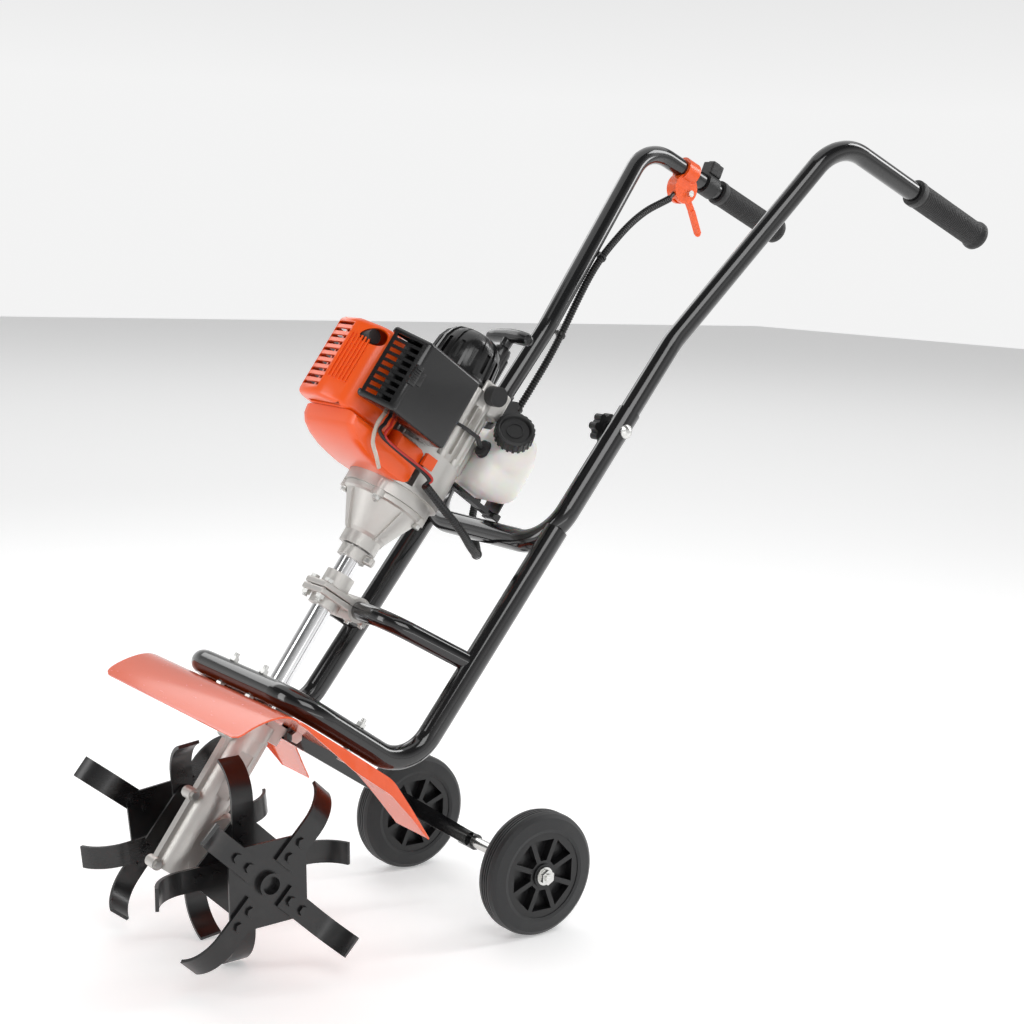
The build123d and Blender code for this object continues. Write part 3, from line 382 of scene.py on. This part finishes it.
def brick(x0, x1, y0, y1, z0, z1):
    """Closed rectangular solid."""
    return prism([(x0, y0), (x1, y0), (x1, y1), (x0, y1)], z0, z1)


ON_AXIS = 1e-6


def lathe(profile, steps=72):
    """Solid of revolution about z from radius and height pairs; ends on the axis are closed."""
    bm = bmesh.new()
    rings = []
    for radius, height in profile:
        count = 1 if radius < ON_AXIS else steps
        turns = [2 * pi * i / steps for i in range(count)]
        rings.append([bm.verts.new((radius * cos(a), radius * sin(a), height)) for a in turns])
    for a, b in zip(rings, rings[1:]):
        for i in range(steps):
            j = (i + 1) % steps
            quad = [a[i % len(a)], a[j % len(a)], b[j % len(b)], b[i % len(b)]]
            corners = list(dict.fromkeys(quad))
            if len(corners) > 2:
                bm.faces.new(corners)
    bmesh.ops.recalc_face_normals(bm, faces=bm.faces)
    return bm


def skin_rings(rings, caps=True):
    """Closed or open tube of quads through rings of points."""
    bm = bmesh.new()
    made = [[bm.verts.new(p) for p in ring] for ring in rings]
    count = len(made[0])
    for a, b in zip(made, made[1:]):
        for i in range(count):
            j = (i + 1) % count
            bm.faces.new((a[i], a[j], b[j], b[i]))
    if caps:
        bm.faces.new(reversed(made[0]))
        bm.faces.new(made[-1])
    bmesh.ops.recalc_face_normals(bm, faces=bm.faces)
    return bm


def line_frames(points):
    """Tangent and two normals at each point of a line, without twist."""
    frames = []
    normal = None
    for i, point in enumerate(points):
        tangent = (points[min(i + 1, len(points) - 1)] - points[max(i - 1, 0)]).normalized()
        if normal is None:
            normal = tangent.orthogonal().normalized()
        normal = (normal - tangent * normal.dot(tangent)).normalized()
        frames.append((point, tangent, normal, tangent.cross(normal)))
    return frames


def hose(points, radius, steps=12):
    """Round tube along points, with a radius that may change from point to point."""
    radii = radius if isinstance(radius, list) else [radius] * len(points)
    rings = []
    for (point, _, u, v), r in zip(line_frames(points), radii):
        rings.append([point + (u * cos(2 * pi * k / steps) + v * sin(2 * pi * k / steps)) * r
                      for k in range(steps)])
    return skin_rings(rings)


def smooth_line(points, per_run=8):
    """Points along a smooth curve that passes through every given point."""
    pts = [Vector(p) for p in points]
    ends = [pts[0] * 2 - pts[1]] + pts + [pts[-1] * 2 - pts[-2]]
    line = []
    for i in range(1, len(ends) - 2):
        p0, p1, p2, p3 = ends[i - 1:i + 3]
        for k in range(per_run):
            t = k / per_run
            line.append(0.5 * (2 * p1 + (p2 - p0) * t + (2 * p0 - 5 * p1 + 4 * p2 - p3) * t * t
                               + (3 * p1 - p0 - 3 * p2 + p3) * t ** 3))
    return line + [pts[-1]]


print("mesh tools ready")

# %% Piece tools
def raw(name, bm):
    """Object from a bmesh, still in its working frame."""
    mesh = bpy.data.meshes.new(name)
    bm.to_mesh(mesh)
    bm.free()
    obj = bpy.data.objects.new(name, mesh)
    bpy.context.scene.collection.objects.link(obj)
    return obj


def apply_all(obj):
    """Replaces the object's mesh by what its modifiers make."""
    bpy.context.view_layer.update()
    made = bpy.data.meshes.new_from_object(obj.evaluated_get(bpy.context.evaluated_depsgraph_get()))
    obj.modifiers.clear()
    obj.data = made
    return obj


def soften(obj, width, segments=3, angle=30):
    """Rounds the edges that are sharper than an angle."""
    bevel = obj.modifiers.new("bevel", "BEVEL")
    bevel.width, bevel.segments = width, segments
    bevel.limit_method, bevel.angle_limit = "ANGLE", radians(angle)
    return apply_all(obj)


def combine(obj, tools, operation):
    """Cuts or adds other solids, which are then removed."""
    for tool in tools:
        boolean = obj.modifiers.new("boolean", "BOOLEAN")
        boolean.operation, boolean.object, boolean.solver = operation, tool, "EXACT"
    apply_all(obj)
    for tool in tools:
        bpy.data.objects.remove(tool)
    return obj


def cut(obj, *bms):
    return combine(obj, [raw("tool", bm) for bm in bms], "DIFFERENCE")


def add(obj, *bms):
    return combine(obj, [raw("tool", bm) for bm in bms], "UNION")


def settle(obj, matrix, body, slot_name, mat, *stands_for, crease=CREASE):
    obj.data.transform(matrix)
    obj.data.materials.clear()
    obj.data.materials.append(mat)
    shade(obj.data, crease)
    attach(obj, body)
    if stands_for:
        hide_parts(*stands_for)
    print(obj.name, len(obj.data.polygons), "faces")
    return obj


def gather(*bms):
    """Several closed solids as one bmesh."""
    whole = bmesh.new()
    for bm in bms:
        mesh = bpy.data.meshes.new("part")
        bm.to_mesh(mesh)
        bm.free()
        whole.from_mesh(mesh)
        bpy.data.meshes.remove(mesh)
    return whole


def moved(bm, matrix):
    bm.transform(matrix)
    return bm


def facing(origin, axis):
    """Matrix that stands a piece drawn along z on a point, along an axis."""
    return Matrix.Translation(Vector(origin)) @ Vector(axis).to_track_quat("Z", "Y").to_matrix().to_4x4()


print("crease angle", round(degrees(CREASE)), "degrees")


# %% [markdown]
# ## Fender
# The fender is one pressed sheet, 2 mm thick: a rolled-down front lip, a flat that follows the
# frame's loop, and a steeper tail with an arch that lets the wheel arm through. Its side edges
# are folded down into shallow skirts. It is drawn as a grid of points that follow a side view,
# trimmed round at the front corners, and then given thickness.

# %% Fender
FENDER_SIDE = [(417, 297.0), (404, 304.5), (388, 310.5), (370, 314.0), (355, 312.5), (340, 304.5),
               (320, 291.0), (296, 275.0), (270, 257.5), (245, 240.0), (226, 226.0), (213, 209.0),
               (200, 190.5), (187, 171.0), (175, 153.0)]
FENDER_HALF = 163.0
LIP_CORNER = 12.0
NECK = (299.0, 274.0)                # where the drive tube goes through
fender_line = smooth_line([(AXLE_X + x, 0, z) for x, z in FENDER_SIDE], 4)
run = [0.0]
for before, after in zip(fender_line, fender_line[1:]):
    run.append(run[-1] + (after - before).length)


def fender_half_width(distance):
    """Half the sheet's width: rounded corners at the front lip."""
    if distance >= LIP_CORNER:
        return FENDER_HALF
    return FENDER_HALF - LIP_CORNER + sqrt(LIP_CORNER ** 2 - (LIP_CORNER - distance) ** 2)


ARCH_TOP, ARCH_REACH = 238.0, 88          # where the arch starts, and how far back it runs
ARCH_NOSE, ARCH_SPREAD = 26, 74           # half its width at the top, and what it widens by
ARCH_RUN = 64                             # over this length
ARCH_STEPS = 14
arch = []
for i in range(ARCH_STEPS + 1):
    x = ARCH_TOP - ARCH_REACH * i / ARCH_STEPS
    arch.append((AXLE_X + x, ARCH_NOSE + ARCH_SPREAD * sqrt((ARCH_TOP - x) / ARCH_RUN)))
arch_outline = arch + [(x, -y) for x, y in reversed(arch)]


SKIRT_DEEPEST, SKIRT_LEAST = 17.0, 0.3    # shallower than the second, there is no skirt
SKIRT_FRONT, SKIRT_REAR = 352, 172


def skirt_depth(x):
    """How far the folded side edge reaches down."""
    from_front, from_rear = (AXLE_X + SKIRT_FRONT - x) * 0.22, (x - AXLE_X - SKIRT_REAR) * 0.35
    return max(0.0, min(SKIRT_DEEPEST, from_front, from_rear))


COLUMNS = 46
fender_mesh = bmesh.new()
grid = []
for point, distance in zip(fender_line, run):
    half = fender_half_width(distance)
    across = [half * (2 * k / COLUMNS - 1) for k in range(COLUMNS + 1)]
    grid.append([fender_mesh.verts.new((point.x, y, point.z)) for y in across])
for upper, lower in zip(grid, grid[1:]):
    for k in range(COLUMNS):
        fender_mesh.faces.new((upper[k], lower[k], lower[k + 1], upper[k + 1]))
for side in (0, COLUMNS):
    out = 1 if side else -1
    edge = [row[side] for row in grid]
    folded = [fender_mesh.verts.new((v.co.x, v.co.y + out * min(1.0, skirt_depth(v.co.x)),
                                     v.co.z - skirt_depth(v.co.x))) for v in edge]
    for i in range(len(edge) - 1):
        if max(skirt_depth(edge[i].co.x), skirt_depth(edge[i + 1].co.x)) > SKIRT_LEAST:
            fender_mesh.faces.new((edge[i], edge[i + 1], folded[i + 1], folded[i]))
bmesh.ops.delete(fender_mesh, geom=[v for v in fender_mesh.verts if not v.link_faces], context="VERTS")
bmesh.ops.recalc_face_normals(fender_mesh, faces=fender_mesh.faces)
fender = raw("fender_sheet", fender_mesh)
thick = fender.modifiers.new("thickness", "SOLIDIFY")
thick.thickness, thick.offset = 1.9, 0.0
thick.use_even_offset = True
apply_all(fender)
neck_hole = moved(lathe([(0, -40), (15.5, -40), (15.5, 40), (0, 40)], 40),
                  facing((AXLE_X + NECK[0], 0, NECK[1]), TUBE_AXIS))
cut(fender, neck_hole, prism(arch_outline, 100, 262))
soften(fender, 0.5, 2, 50)
settle(fender, MACHINE, "root", "orange_paint", orange_enamel, "fender", crease=radians(40))

# %% [markdown]
# ## Engine covers
# Two orange mouldings hide the engine. The upper one wraps the cylinder, with louvres across its
# front face for the cooling air and ribs on the side that slopes towards the filter. The lower one
# swells over the flywheel. The upper one is an outline seen along the drive tube, the lower one an
# outline seen from the side. Each is made solid first, then hollowed. The upper cover's edges are
# rounded before its louvres are cut, so that the louvres stay sharp.

# %% Upper engine cover
COVER = [(62.6, -47), (140, -48), (151, -41), (153, -30), (153, 0), (149, 9), (139, 29), (131, 38), (118, 42),
         (62.6, 42)]
COVER_LOW, COVER_HIGH = 131.5, 236.0
LOUVRES, LOUVRE_PITCH, LOUVRE_GAP = 10, 9.0, 4.4


def inset(outline, amount):
    """Outline drawn inwards by an amount, for a wall of even thickness."""
    pts = [Vector((x, y)) for x, y in outline]
    area = sum(a.x * b.y - b.x * a.y for a, b in zip(pts, pts[1:] + pts[:1]))
    amount = amount if area > 0 else -amount
    result = []
    for i, here in enumerate(pts):
        before = (here - pts[i - 1]).normalized()
        after = (pts[(i + 1) % len(pts)] - here).normalized()
        normal = (Vector((-before.y, before.x)) + Vector((-after.y, after.x))).normalized()
        stretch = 1 / max(0.5, normal.dot(Vector((-before.y, before.x))))
        result.append(tuple(here + normal * amount * stretch))
    return result


cover = soften(raw("engine_top_cover", prism(COVER, COVER_LOW, COVER_HIGH)), 6, 4)
cut(cover, prism(inset(COVER, 3), COVER_LOW + 3, COVER_HIGH - 3))
slots = []
for i in range(LOUVRES):
    z = COVER_LOW + 11 + i * LOUVRE_PITCH
    slots.append(brick(146, 160, -37, -2, z, z + LOUVRE_GAP))
    slots.append(brick(132, 160, -60, -41, z, z + LOUVRE_GAP))
for i in range(5):
    x = 88 + i * 11
    slots.append(brick(x, x + 5, -34, 30, COVER_LOW - 5, COVER_LOW + 6))
rear_opening = brick(50, 63.2, -100, 100, 100, 260)
exhaust_opening = brick(62, 90, -60, -40, 160, 194)
starter_room = lathe([(0, 200), (50.6, 200), (50.6, 260), (0, 260)])
plug_opening = moved(lathe([(0, 0), (10.5, 0), (10.5, 60), (0, 60)], 36), facing((137, 8, 216), (0, 1, 0.2)))
cut(cover, *slots, rear_opening, exhaust_opening, starter_room, plug_opening)
slope = (Vector((139, 29, 0)) - Vector((149, 9, 0))).normalized()
out_of_slope = Vector((slope.y, -slope.x, 0))
ribs = []
for i in range(6):
    start = Vector((149, 9, COVER_LOW + 26)) + slope * (-6 + i * 5.0) - out_of_slope * 0.8
    bar = brick(-1.1, 1.1, 0, 2.4, 0, 58)
    axes = Matrix((slope, out_of_slope, Vector((0, 0, 1)))).transposed().to_4x4()
    ribs.append(moved(bar, Matrix.Translation(start) @ axes))
add(cover, *ribs)
settle(cover, ENGINE, "root", "orange_plastic", orange_plastic, "cylinder_cover")

# %% Flywheel cover
FLY_SIDE = [(14, 96), (52, 94.5), (66, 95.5), (86, 98), (104, 103), (117, 110), (124, 119), (126.5, 131),
            (60, 131), (60, 146), (14, 146)]


def crankcase_room():
    """Stepped bore that fits round the crankcase."""
    return lathe([(0, 90), (53.9, 90), (53.9, 95.8), (60.4, 95.8), (60.4, 151), (0, 151)])


fly_rings = []
for y, shrink in ((-57, 9), (-55, 4), (-50, 1.2), (-42, 0), (42, 0), (50, 1.2), (55, 4), (57, 9)):
    outline = inset(FLY_SIDE, shrink * 0.9) if shrink else FLY_SIDE
    fly_rings.append([(x, y, z) for x, z in outline])
flywheel_cover = raw("flywheel_cover", skin_rings(fly_rings))
cut(flywheel_cover, crankcase_room(), brick(60, 106, -48, 48, 112, 127))
lugs = [brick(4, 20, 50, 63, 127, 142), brick(4, 20, -63, -50, 127, 142)]
add(flywheel_cover, *lugs)
cut(flywheel_cover, crankcase_room())
soften(flywheel_cover, 1.6, 3, 35)
settle(flywheel_cover, ENGINE, "root", "orange_plastic", orange_plastic, "fan_cover")

# %% [markdown]
# ## Air filter cover
# A deep black box with a plain outer panel, held by a ribbed snap at its upper edge. The face
# that slopes forward is a grille: the engine cover's orange shows through its slats. The box is
# rounded before it is hollowed, so the panel's corners are soft and the slats stay crisp.

# %% Air filter cover
FILTER = [(22, 58), (22, 90), (105, 90), (137.5, 53), (130, 46), (104, 58)]
FILTER_LOW, FILTER_HIGH = 148.5, 239.0
SLATS, SLAT_PITCH, SLAT_GAP = 9, 8.9, 5.2
filter_box = soften(raw("air_filter_cover", prism(FILTER, FILTER_LOW, FILTER_HIGH)), 4.5, 4)
cut(filter_box, prism(inset(FILTER, 2.6), FILTER_LOW + 2.6, FILTER_HIGH - 2.6))
grille_side = (Vector((137.5, 53, 0)) - Vector((105, 90, 0))).normalized()
grille_out = Vector((-grille_side.y, grille_side.x, 0))
grille_axes = Matrix((grille_side, grille_out, Vector((0, 0, 1)))).transposed().to_4x4()
slats = []
for i in range(SLATS):
    opening = brick(9, 41, -14, 8, 0, SLAT_GAP)
    place = Matrix.Translation(Vector((105, 90, FILTER_LOW + 7 + i * SLAT_PITCH))) @ grille_axes
    slats.append(moved(opening, place))
slats.append(brick(100, 140, 42, 56, FILTER_LOW + 7, FILTER_HIGH - 7))
cut(filter_box, *slats)
settle(filter_box, ENGINE, "root", "black_gloss_plastic", gloss_moulding, "filter_cover")

snap_parts = [brick(99, 109, 88, 92, 184, 208)]
for i in range(6):
    snap_parts.append(brick(100.5, 108, 91, 93.6, 187 + i * 3.2, 188.8 + i * 3.2))
snap_parts.append(brick(92, 99.5, 89, 91.4, 188, 204))
filter_snap = soften(raw("filter_snap", gather(*snap_parts)), 0.5, 2)
settle(filter_snap, ENGINE, "root", "black_gloss_plastic", gloss_moulding)

# %% [markdown]
# ## Recoil starter
# The starter's dome is a black moulding with deep air ribs round it, and a tower at one side
# guides the rope. The T-handle sits in the tower's mouth: a curved bar that fits four fingers.
# The rope itself shows only when the handle is pulled. Here it is a short straight piece
# inside the tower, and it rides on no body.

# %% Starter dome
DOME_FINS = 14
ROPE_X = -38                              # the rope's line, behind the crank's axis
DOME = [(46, 246.2), (46.4, 251), (45, 254), (43.5, 258), (42, 272), (40.5, 285), (37, 295), (31, 303),
        (23, 308.5), (12, 311), (0, 311.3)]
dome_wall = [(0, 306), (20, 304), (30, 297.5), (37, 284), (40, 262), (41, 246.2)]
dome = raw("starter_dome_cover", lathe(DOME + dome_wall + [DOME[0]], 96))
vents = []
for i in range(DOME_FINS):
    angle = 2 * pi * (i + 0.5) / DOME_FINS
    slot_box = brick(36, 60, -2.6, 2.6, 262, 287)
    vents.append(moved(slot_box, Matrix.Rotation(angle, 4, "Z")))
cut(dome, *vents)
FIN = [(22, 309), (30, 305.5), (38, 297), (42.5, 286), (44, 272), (45, 256), (39.5, 256), (38, 284),
       (31, 298), (21, 305)]
fins = []
for i in range(DOME_FINS):
    angle = 2 * pi * i / DOME_FINS
    fin = prism(FIN, -1.7, 1.7)
    fin.transform(Matrix.Rotation(angle, 4, "Z") @ Matrix.Rotation(pi / 2, 4, "X"))
    fins.append(fin)
TOWER = [(-50, -7), (-46, -11), (-30, -11), (-20, -8), (-20, 8), (-30, 11), (-46, 11), (-50, 7)]
on_rope = Matrix.Translation((ROPE_X, 0, 0))
mouth = moved(lathe([(0, 290), (12, 290), (12, 312), (10.5, 318), (6.5, 320), (0, 320)], 40), on_rope)
add(dome, *fins, prism(TOWER, 262, 306), mouth)
cut(dome, moved(lathe([(0, 300), (4.2, 300), (4.2, 316), (6, 321), (0, 321)], 32), on_rope))
settle(dome, ENGINE, "root", "black_gloss_plastic", gloss_moulding, "starter_dome")

# %% Starter handle
HALF_BAR = [(10, 8.6, 8.8, 0.4), (22, 9, 8.6, 1.2), (34, 8.6, 8, 2.4), (39, 7, 6.5, 3.2), (40.5, 4, 4.2, 3.5)]
BAR_HEIGHT, BAR_STEPS = 337, 28
other_half = [(-y, width, height, drop) for y, width, height, drop in reversed(HALF_BAR)]
handle_rings = []
for y, width, height, drop in other_half + [(0, 8.8, 9, 0)] + HALF_BAR:
    turns = [2 * pi * k / BAR_STEPS for k in range(BAR_STEPS)]
    handle_rings.append([(ROPE_X + width * cos(a), y, BAR_HEIGHT - drop + height * sin(a)) for a in turns])
pull = raw("starter_pull", skin_rings(handle_rings))
stem = moved(lathe([(0, 320.4), (6.6, 320.4), (7.2, 323), (7.5, 331), (0, 334)], 32), on_rope)
add(pull, stem)
grooves = []
for y in (-30, -24, -18, 18, 24, 30):
    grooves.append(brick(-50, -26, y - 1.1, y + 1.1, 342.5 - abs(y) * 0.06, 350))
cut(pull, *grooves)
settle(pull, ENGINE, "pull_handle", "black_gloss_plastic", gloss_moulding, "starter_handle")

# %% Pull rope
rope_line = [Vector((ROPE_X, 0, 300 + 3.0 * i)) for i in range(8)]
rope = raw("pull_rope", hose(rope_line, 1.9, 12))
rope.data.transform(ENGINE)
rope.data.materials.append(grip_rubber)
shade(rope.data)
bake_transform(rope)
print("pull_rope", len(rope.data.polygons), "faces")

# %% [markdown]
# ## Tank and cap
# The tank is blow-moulded, so it has no sharp edge anywhere: a rounded box runs into a swelling
# neck. The two are joined and then skinned again with an even mesh that is smoothed, which gives
# the soft fillet where they meet. The cap is deeply ribbed for grip, with a sunken face.

# %% Tank
CAP_AXIS = Vector((0.63, 0.70, 0.33)).normalized()
CAP_TOP = Vector((-62, 72, 228))
tank = soften(raw("tank_body", brick(-136, -67, -47, 54, 153, 231)), 21, 6)
neck = moved(lathe([(0, -62), (34, -62), (33, -40), (27, -27), (21.5, -20), (20.5, -15), (0, -15)], 48),
             facing(CAP_TOP, CAP_AXIS))
add(tank, neck)
clip = brick(-66.5, -20, -90, 90, 100, 226)
cut(tank, clip)
skin = tank.modifiers.new("skin", "REMESH")
skin.mode, skin.voxel_size = "VOXEL", 2.2
relax = tank.modifiers.new("relax", "SMOOTH")
relax.factor, relax.iterations = 0.5, 7
apply_all(tank)
settle(tank, ENGINE, "root", "tank_plastic", tank_plastic, "fuel_tank")

grommet_shape = lathe([(0, -6), (9.5, -6), (11, -1), (11, 3), (8.5, 6), (5, 6.5), (0, 6.5)], 40)
grommet = raw("hose_grommet", moved(grommet_shape, facing((-68, 30, 196), (1, 0.25, 0))))
settle(grommet, ENGINE, "root", "rubber", grip_rubber)

# %% Cap
CAP_RIBS = 22
CAP_SIDE = [(0, -5), (17, -4.2), (18.5, -1.2), (20, -0.4), (23, -1.4), (23.2, -15), (21.5, -18), (0, -18)]
cap = raw("tank_cap", lathe(CAP_SIDE, 72))
cap_ribs = []
for i in range(CAP_RIBS):
    rib = brick(21.5, 24.0, -1.5, 1.5, -16.5, -2.0)
    cap_ribs.append(moved(rib, Matrix.Rotation(2 * pi * i / CAP_RIBS, 4, "Z")))
face_ring = lathe([(9, -4.9), (9, -3.4), (10.4, -3.4), (10.4, -4.9), (9, -4.9)], 48)
add(cap, *cap_ribs, face_ring)
cap.data.transform(facing(CAP_TOP, CAP_AXIS))
settle(cap, ENGINE, "cap", "black_plastic", black_moulding, "fuel_cap")

# %% [markdown]
# ## Grips
# Each grip is a rubber sleeve with fine rings for hold, a plain collar at its inner end and a
# small flange at the outer end. Only one profile is needed, turned about the handle's axis.

# %% Grips
GRIP_START = 150.0                        # down the handle tube, from its upper bend
RING_ROOT, RING_CREST, RINGS_END, RINGS_APART = 16.0, 16.75, 124, 3.2
grip_profile = [(12.6, 0), (17.4, 0.4), (17.6, 2), (17.6, 8), (16.3, 9.5)]
height = 12.0
while height < RINGS_END:
    grip_profile += [(RING_ROOT, height), (RING_CREST, height + 0.8),
                     (RING_CREST, height + 1.7), (RING_ROOT, height + 2.4)]
    height += RINGS_APART
grip_profile += [(16.4, 126), (18.6, 128.5), (19.0, 131), (18.8, 134.5), (17, 137), (0, 137)]
both_grips = []
for side in (1, -1):
    top = Vector((AXLE_X - 385, side * 180, 955))
    end = Vector((AXLE_X - 644.3, side * 186, 850))
    along = (end - top).normalized()
    sleeve = lathe(grip_profile + [(0, 131), (12.6, 131), (12.6, 0)], 48)
    both_grips.append(moved(sleeve, facing(top + along * GRIP_START, along)))
grips = raw("rubber_grips", gather(*both_grips))
settle(grips, MACHINE, "root", "rubber", grip_rubber, "handle_grips", crease=radians(50))

# %% [markdown]
# ## Cable sleeve, ties and loose leads
# A split corrugated sleeve carries the throttle cable and the switch wires from the right handle,
# down the tube, under the cross tube and up behind the filter. Its rings are real geometry: the
# radius of a tube rises and falls along the route. Black tie bands are drawn tight round it, and
# the bare cable runs from its upper end into the throttle pod.

# %% Corrugated sleeve
ROUTE = [(-424, -172, 884), (-372, -165, 862), (-318, -150, 829), (-262, -136, 778),
         (-197.5, -124, 682.8), (-161.6, -119, 634.8), (-125.6, -117, 586.7), (-92.7, -113, 542.7),
         (-66, -100, 504), (-34, -70, 462), (-14, -30, 439), (10, 4, 437),
         (38, 30, 452), (68, 52, 476), (102, 66, 504), (136, 74, 536)]
route = smooth_line([(AXLE_X + x, y, z) for x, y, z in ROUTE], 24)
RING_PITCH = 4.0
CREST, TROUGH = 5.1, 3.7                  # radii of the sleeve's rings and of the gaps between them


def even_points(line, step):
    """Points at even distances along a line."""
    points = [line[0]]
    left = step
    for before, after in zip(line, line[1:]):
        length = (after - before).length
        while left <= length:
            points.append(before.lerp(after, left / length))
            left += step
        left -= length
    return points


sleeve_points = even_points(route, RING_PITCH / 3)
sleeve_radii = [(CREST, CREST, TROUGH)[i % 3] for i in range(len(sleeve_points))]
loom = raw("corrugated_sleeve", hose(sleeve_points, sleeve_radii, 12))
settle(loom, MACHINE, "root", "cable_plastic", sleeve_plastic, "cable_sleeve")

# %% [markdown]
# ## Ties
# Each tie is a thin band with a square head. The band is a ring of small cross sections that goes
# once round the sleeve and meets itself, so it is closed by joining its two ends.


# %% Sleeve ties
def lead(name, points, radius, mat, slot_name):
    """Thin flexible lead in the engine frame."""
    return settle(raw(name, hose(smooth_line(points), radius, 10)), ENGINE, "root", slot_name, mat)


TIE_POINTS = (128, 225, 315, 420, 518)    # which of the sleeve's points carry a tie
TIE_LEAN = Vector((0.8, 0, 0.6))          # the way the heads point
BAND_STEPS, BAND_INNER, BAND_THICK, BAND_HALF = 40, 5.3, 1.2, 1.9
ties = []
for at in TIE_POINTS:
    place = sleeve_points[at]
    along = (sleeve_points[at + 1] - sleeve_points[at - 1]).normalized()
    across = (TIE_LEAN - along * along.dot(TIE_LEAN)).normalized()
    side = along.cross(across)
    band = []
    for k in range(BAND_STEPS + 1):
        angle = 2 * pi * k / BAND_STEPS
        outward = across * cos(angle) + side * sin(angle)
        p = place + outward * BAND_INNER
        rim, edge = outward * BAND_THICK, along * BAND_HALF
        band.append([p + edge, p + rim + edge, p + rim - edge, p - edge])
    strap = skin_rings(band, caps=False)
    bmesh.ops.remove_doubles(strap, verts=strap.verts, dist=0.01)
    ties.append(strap)
    block = brick(5.0, 9.0, -2.6, 2.6, -2.4, 2.4)
    axes = Matrix((across, side, along)).transposed().to_4x4()
    ties.append(moved(block, Matrix.Translation(place) @ axes))
settle(raw("sleeve_ties", gather(*ties)), MACHINE, "root", "cable_plastic", sleeve_plastic)

# %% [markdown]
# ## Loose leads
# The bare cable reaches from the sleeve to the throttle pod. Under the filter, a black and a red
# wire come out of the sleeve's engine end, next to a short clear hose. Each is one round tube along
# a smooth line through a few given points.

# %% Cable end and leads
grip_top = Vector((AXLE_X - 385, -180, 955))
grip_axis = (Vector((AXLE_X - 644.3, -186, 850)) - grip_top).normalized()
grip_up = grip_axis.cross(Vector((0, 0, 1)).cross(grip_axis).normalized())
pod_mouth = grip_top + grip_axis * 80 - grip_up * 32
cable_end = smooth_line([route[0] + (route[1] - route[0]).normalized() * 6, route[0],
                         route[0].lerp(pod_mouth, 0.5) + Vector((0, 0, 2)), pod_mouth])
settle(raw("throttle_cable_end", hose(cable_end, 3.0, 12)), MACHINE, "root", "cable_plastic", sleeve_plastic)
sleeve_end = ENGINE.inverted() @ (route[-1] * 0.001)
black_way = [(88, 62, 152), (93, 68, 138), (91, 74, 122), sleeve_end + Vector((6, 0, 10)), sleeve_end]
red_way = [(84, 64, 152), (87, 71, 138), (84, 76, 122), sleeve_end + Vector((2, 2, 12)), sleeve_end]
drain_way = [(94, 58, 150), (100, 66, 132), (96, 70, 112), (84, 73, 100), (72, 70, 92)]
lead("black_lead", black_way, 2.2, sleeve_plastic, "cable_plastic")
lead("red_lead", red_way, 1.5, red_wire, "cable_plastic")
lead("drain_hose", drain_way, 2.4, clear_hose, "tank_plastic")

# %% [markdown]
# ## Casting details
# Ribs and screw bosses break up the crankcase, as they do on any die casting: they stiffen thin
# walls and give the screws something to bite in. They are set out round the crank's axis.

# %% Crankcase ribs and bosses
details = []
for i in range(9):
    angle = radians(52 + i * 13)
    rib = brick(44, 56.5, -1.3, 1.3, 160, 226)
    details.append(moved(rib, Matrix.Rotation(angle, 4, "Z")))
for i in range(4):
    boss = moved(lathe([(0, 150), (6, 150), (6, 243), (0, 243)], 24), Matrix.Translation((52, 0, 0)))
    details.append(moved(boss, Matrix.Rotation(radians(62 + i * 30), 4, "Z")))
settle(soften(raw("crankcase_ribs", gather(*details)), 0.6, 2), ENGINE, "root", "cast_aluminium", cast_metal)

# %% [markdown]
# ## Muffler guard
# The exhaust sits on the far side behind a pressed black guard with cooling slots.

# %% Muffler guard
guard = soften(raw("exhaust_guard", brick(31, 118, -99, -61, 146, 228)), 5, 3)
cut(guard, brick(33.5, 115.5, -96.5, -50, 148.5, 225.5))
guard_slots = []
GUARD_SLOTS, GUARD_PITCH = 6, 12
for i in range(GUARD_SLOTS):
    low = 155 + i * GUARD_PITCH
    guard_slots.append(brick(44, 104, -104, -92, low, low + 5))
cut(guard, *guard_slots)
settle(guard, ENGINE, "root", "black_plastic", black_moulding, "muffler_guard")
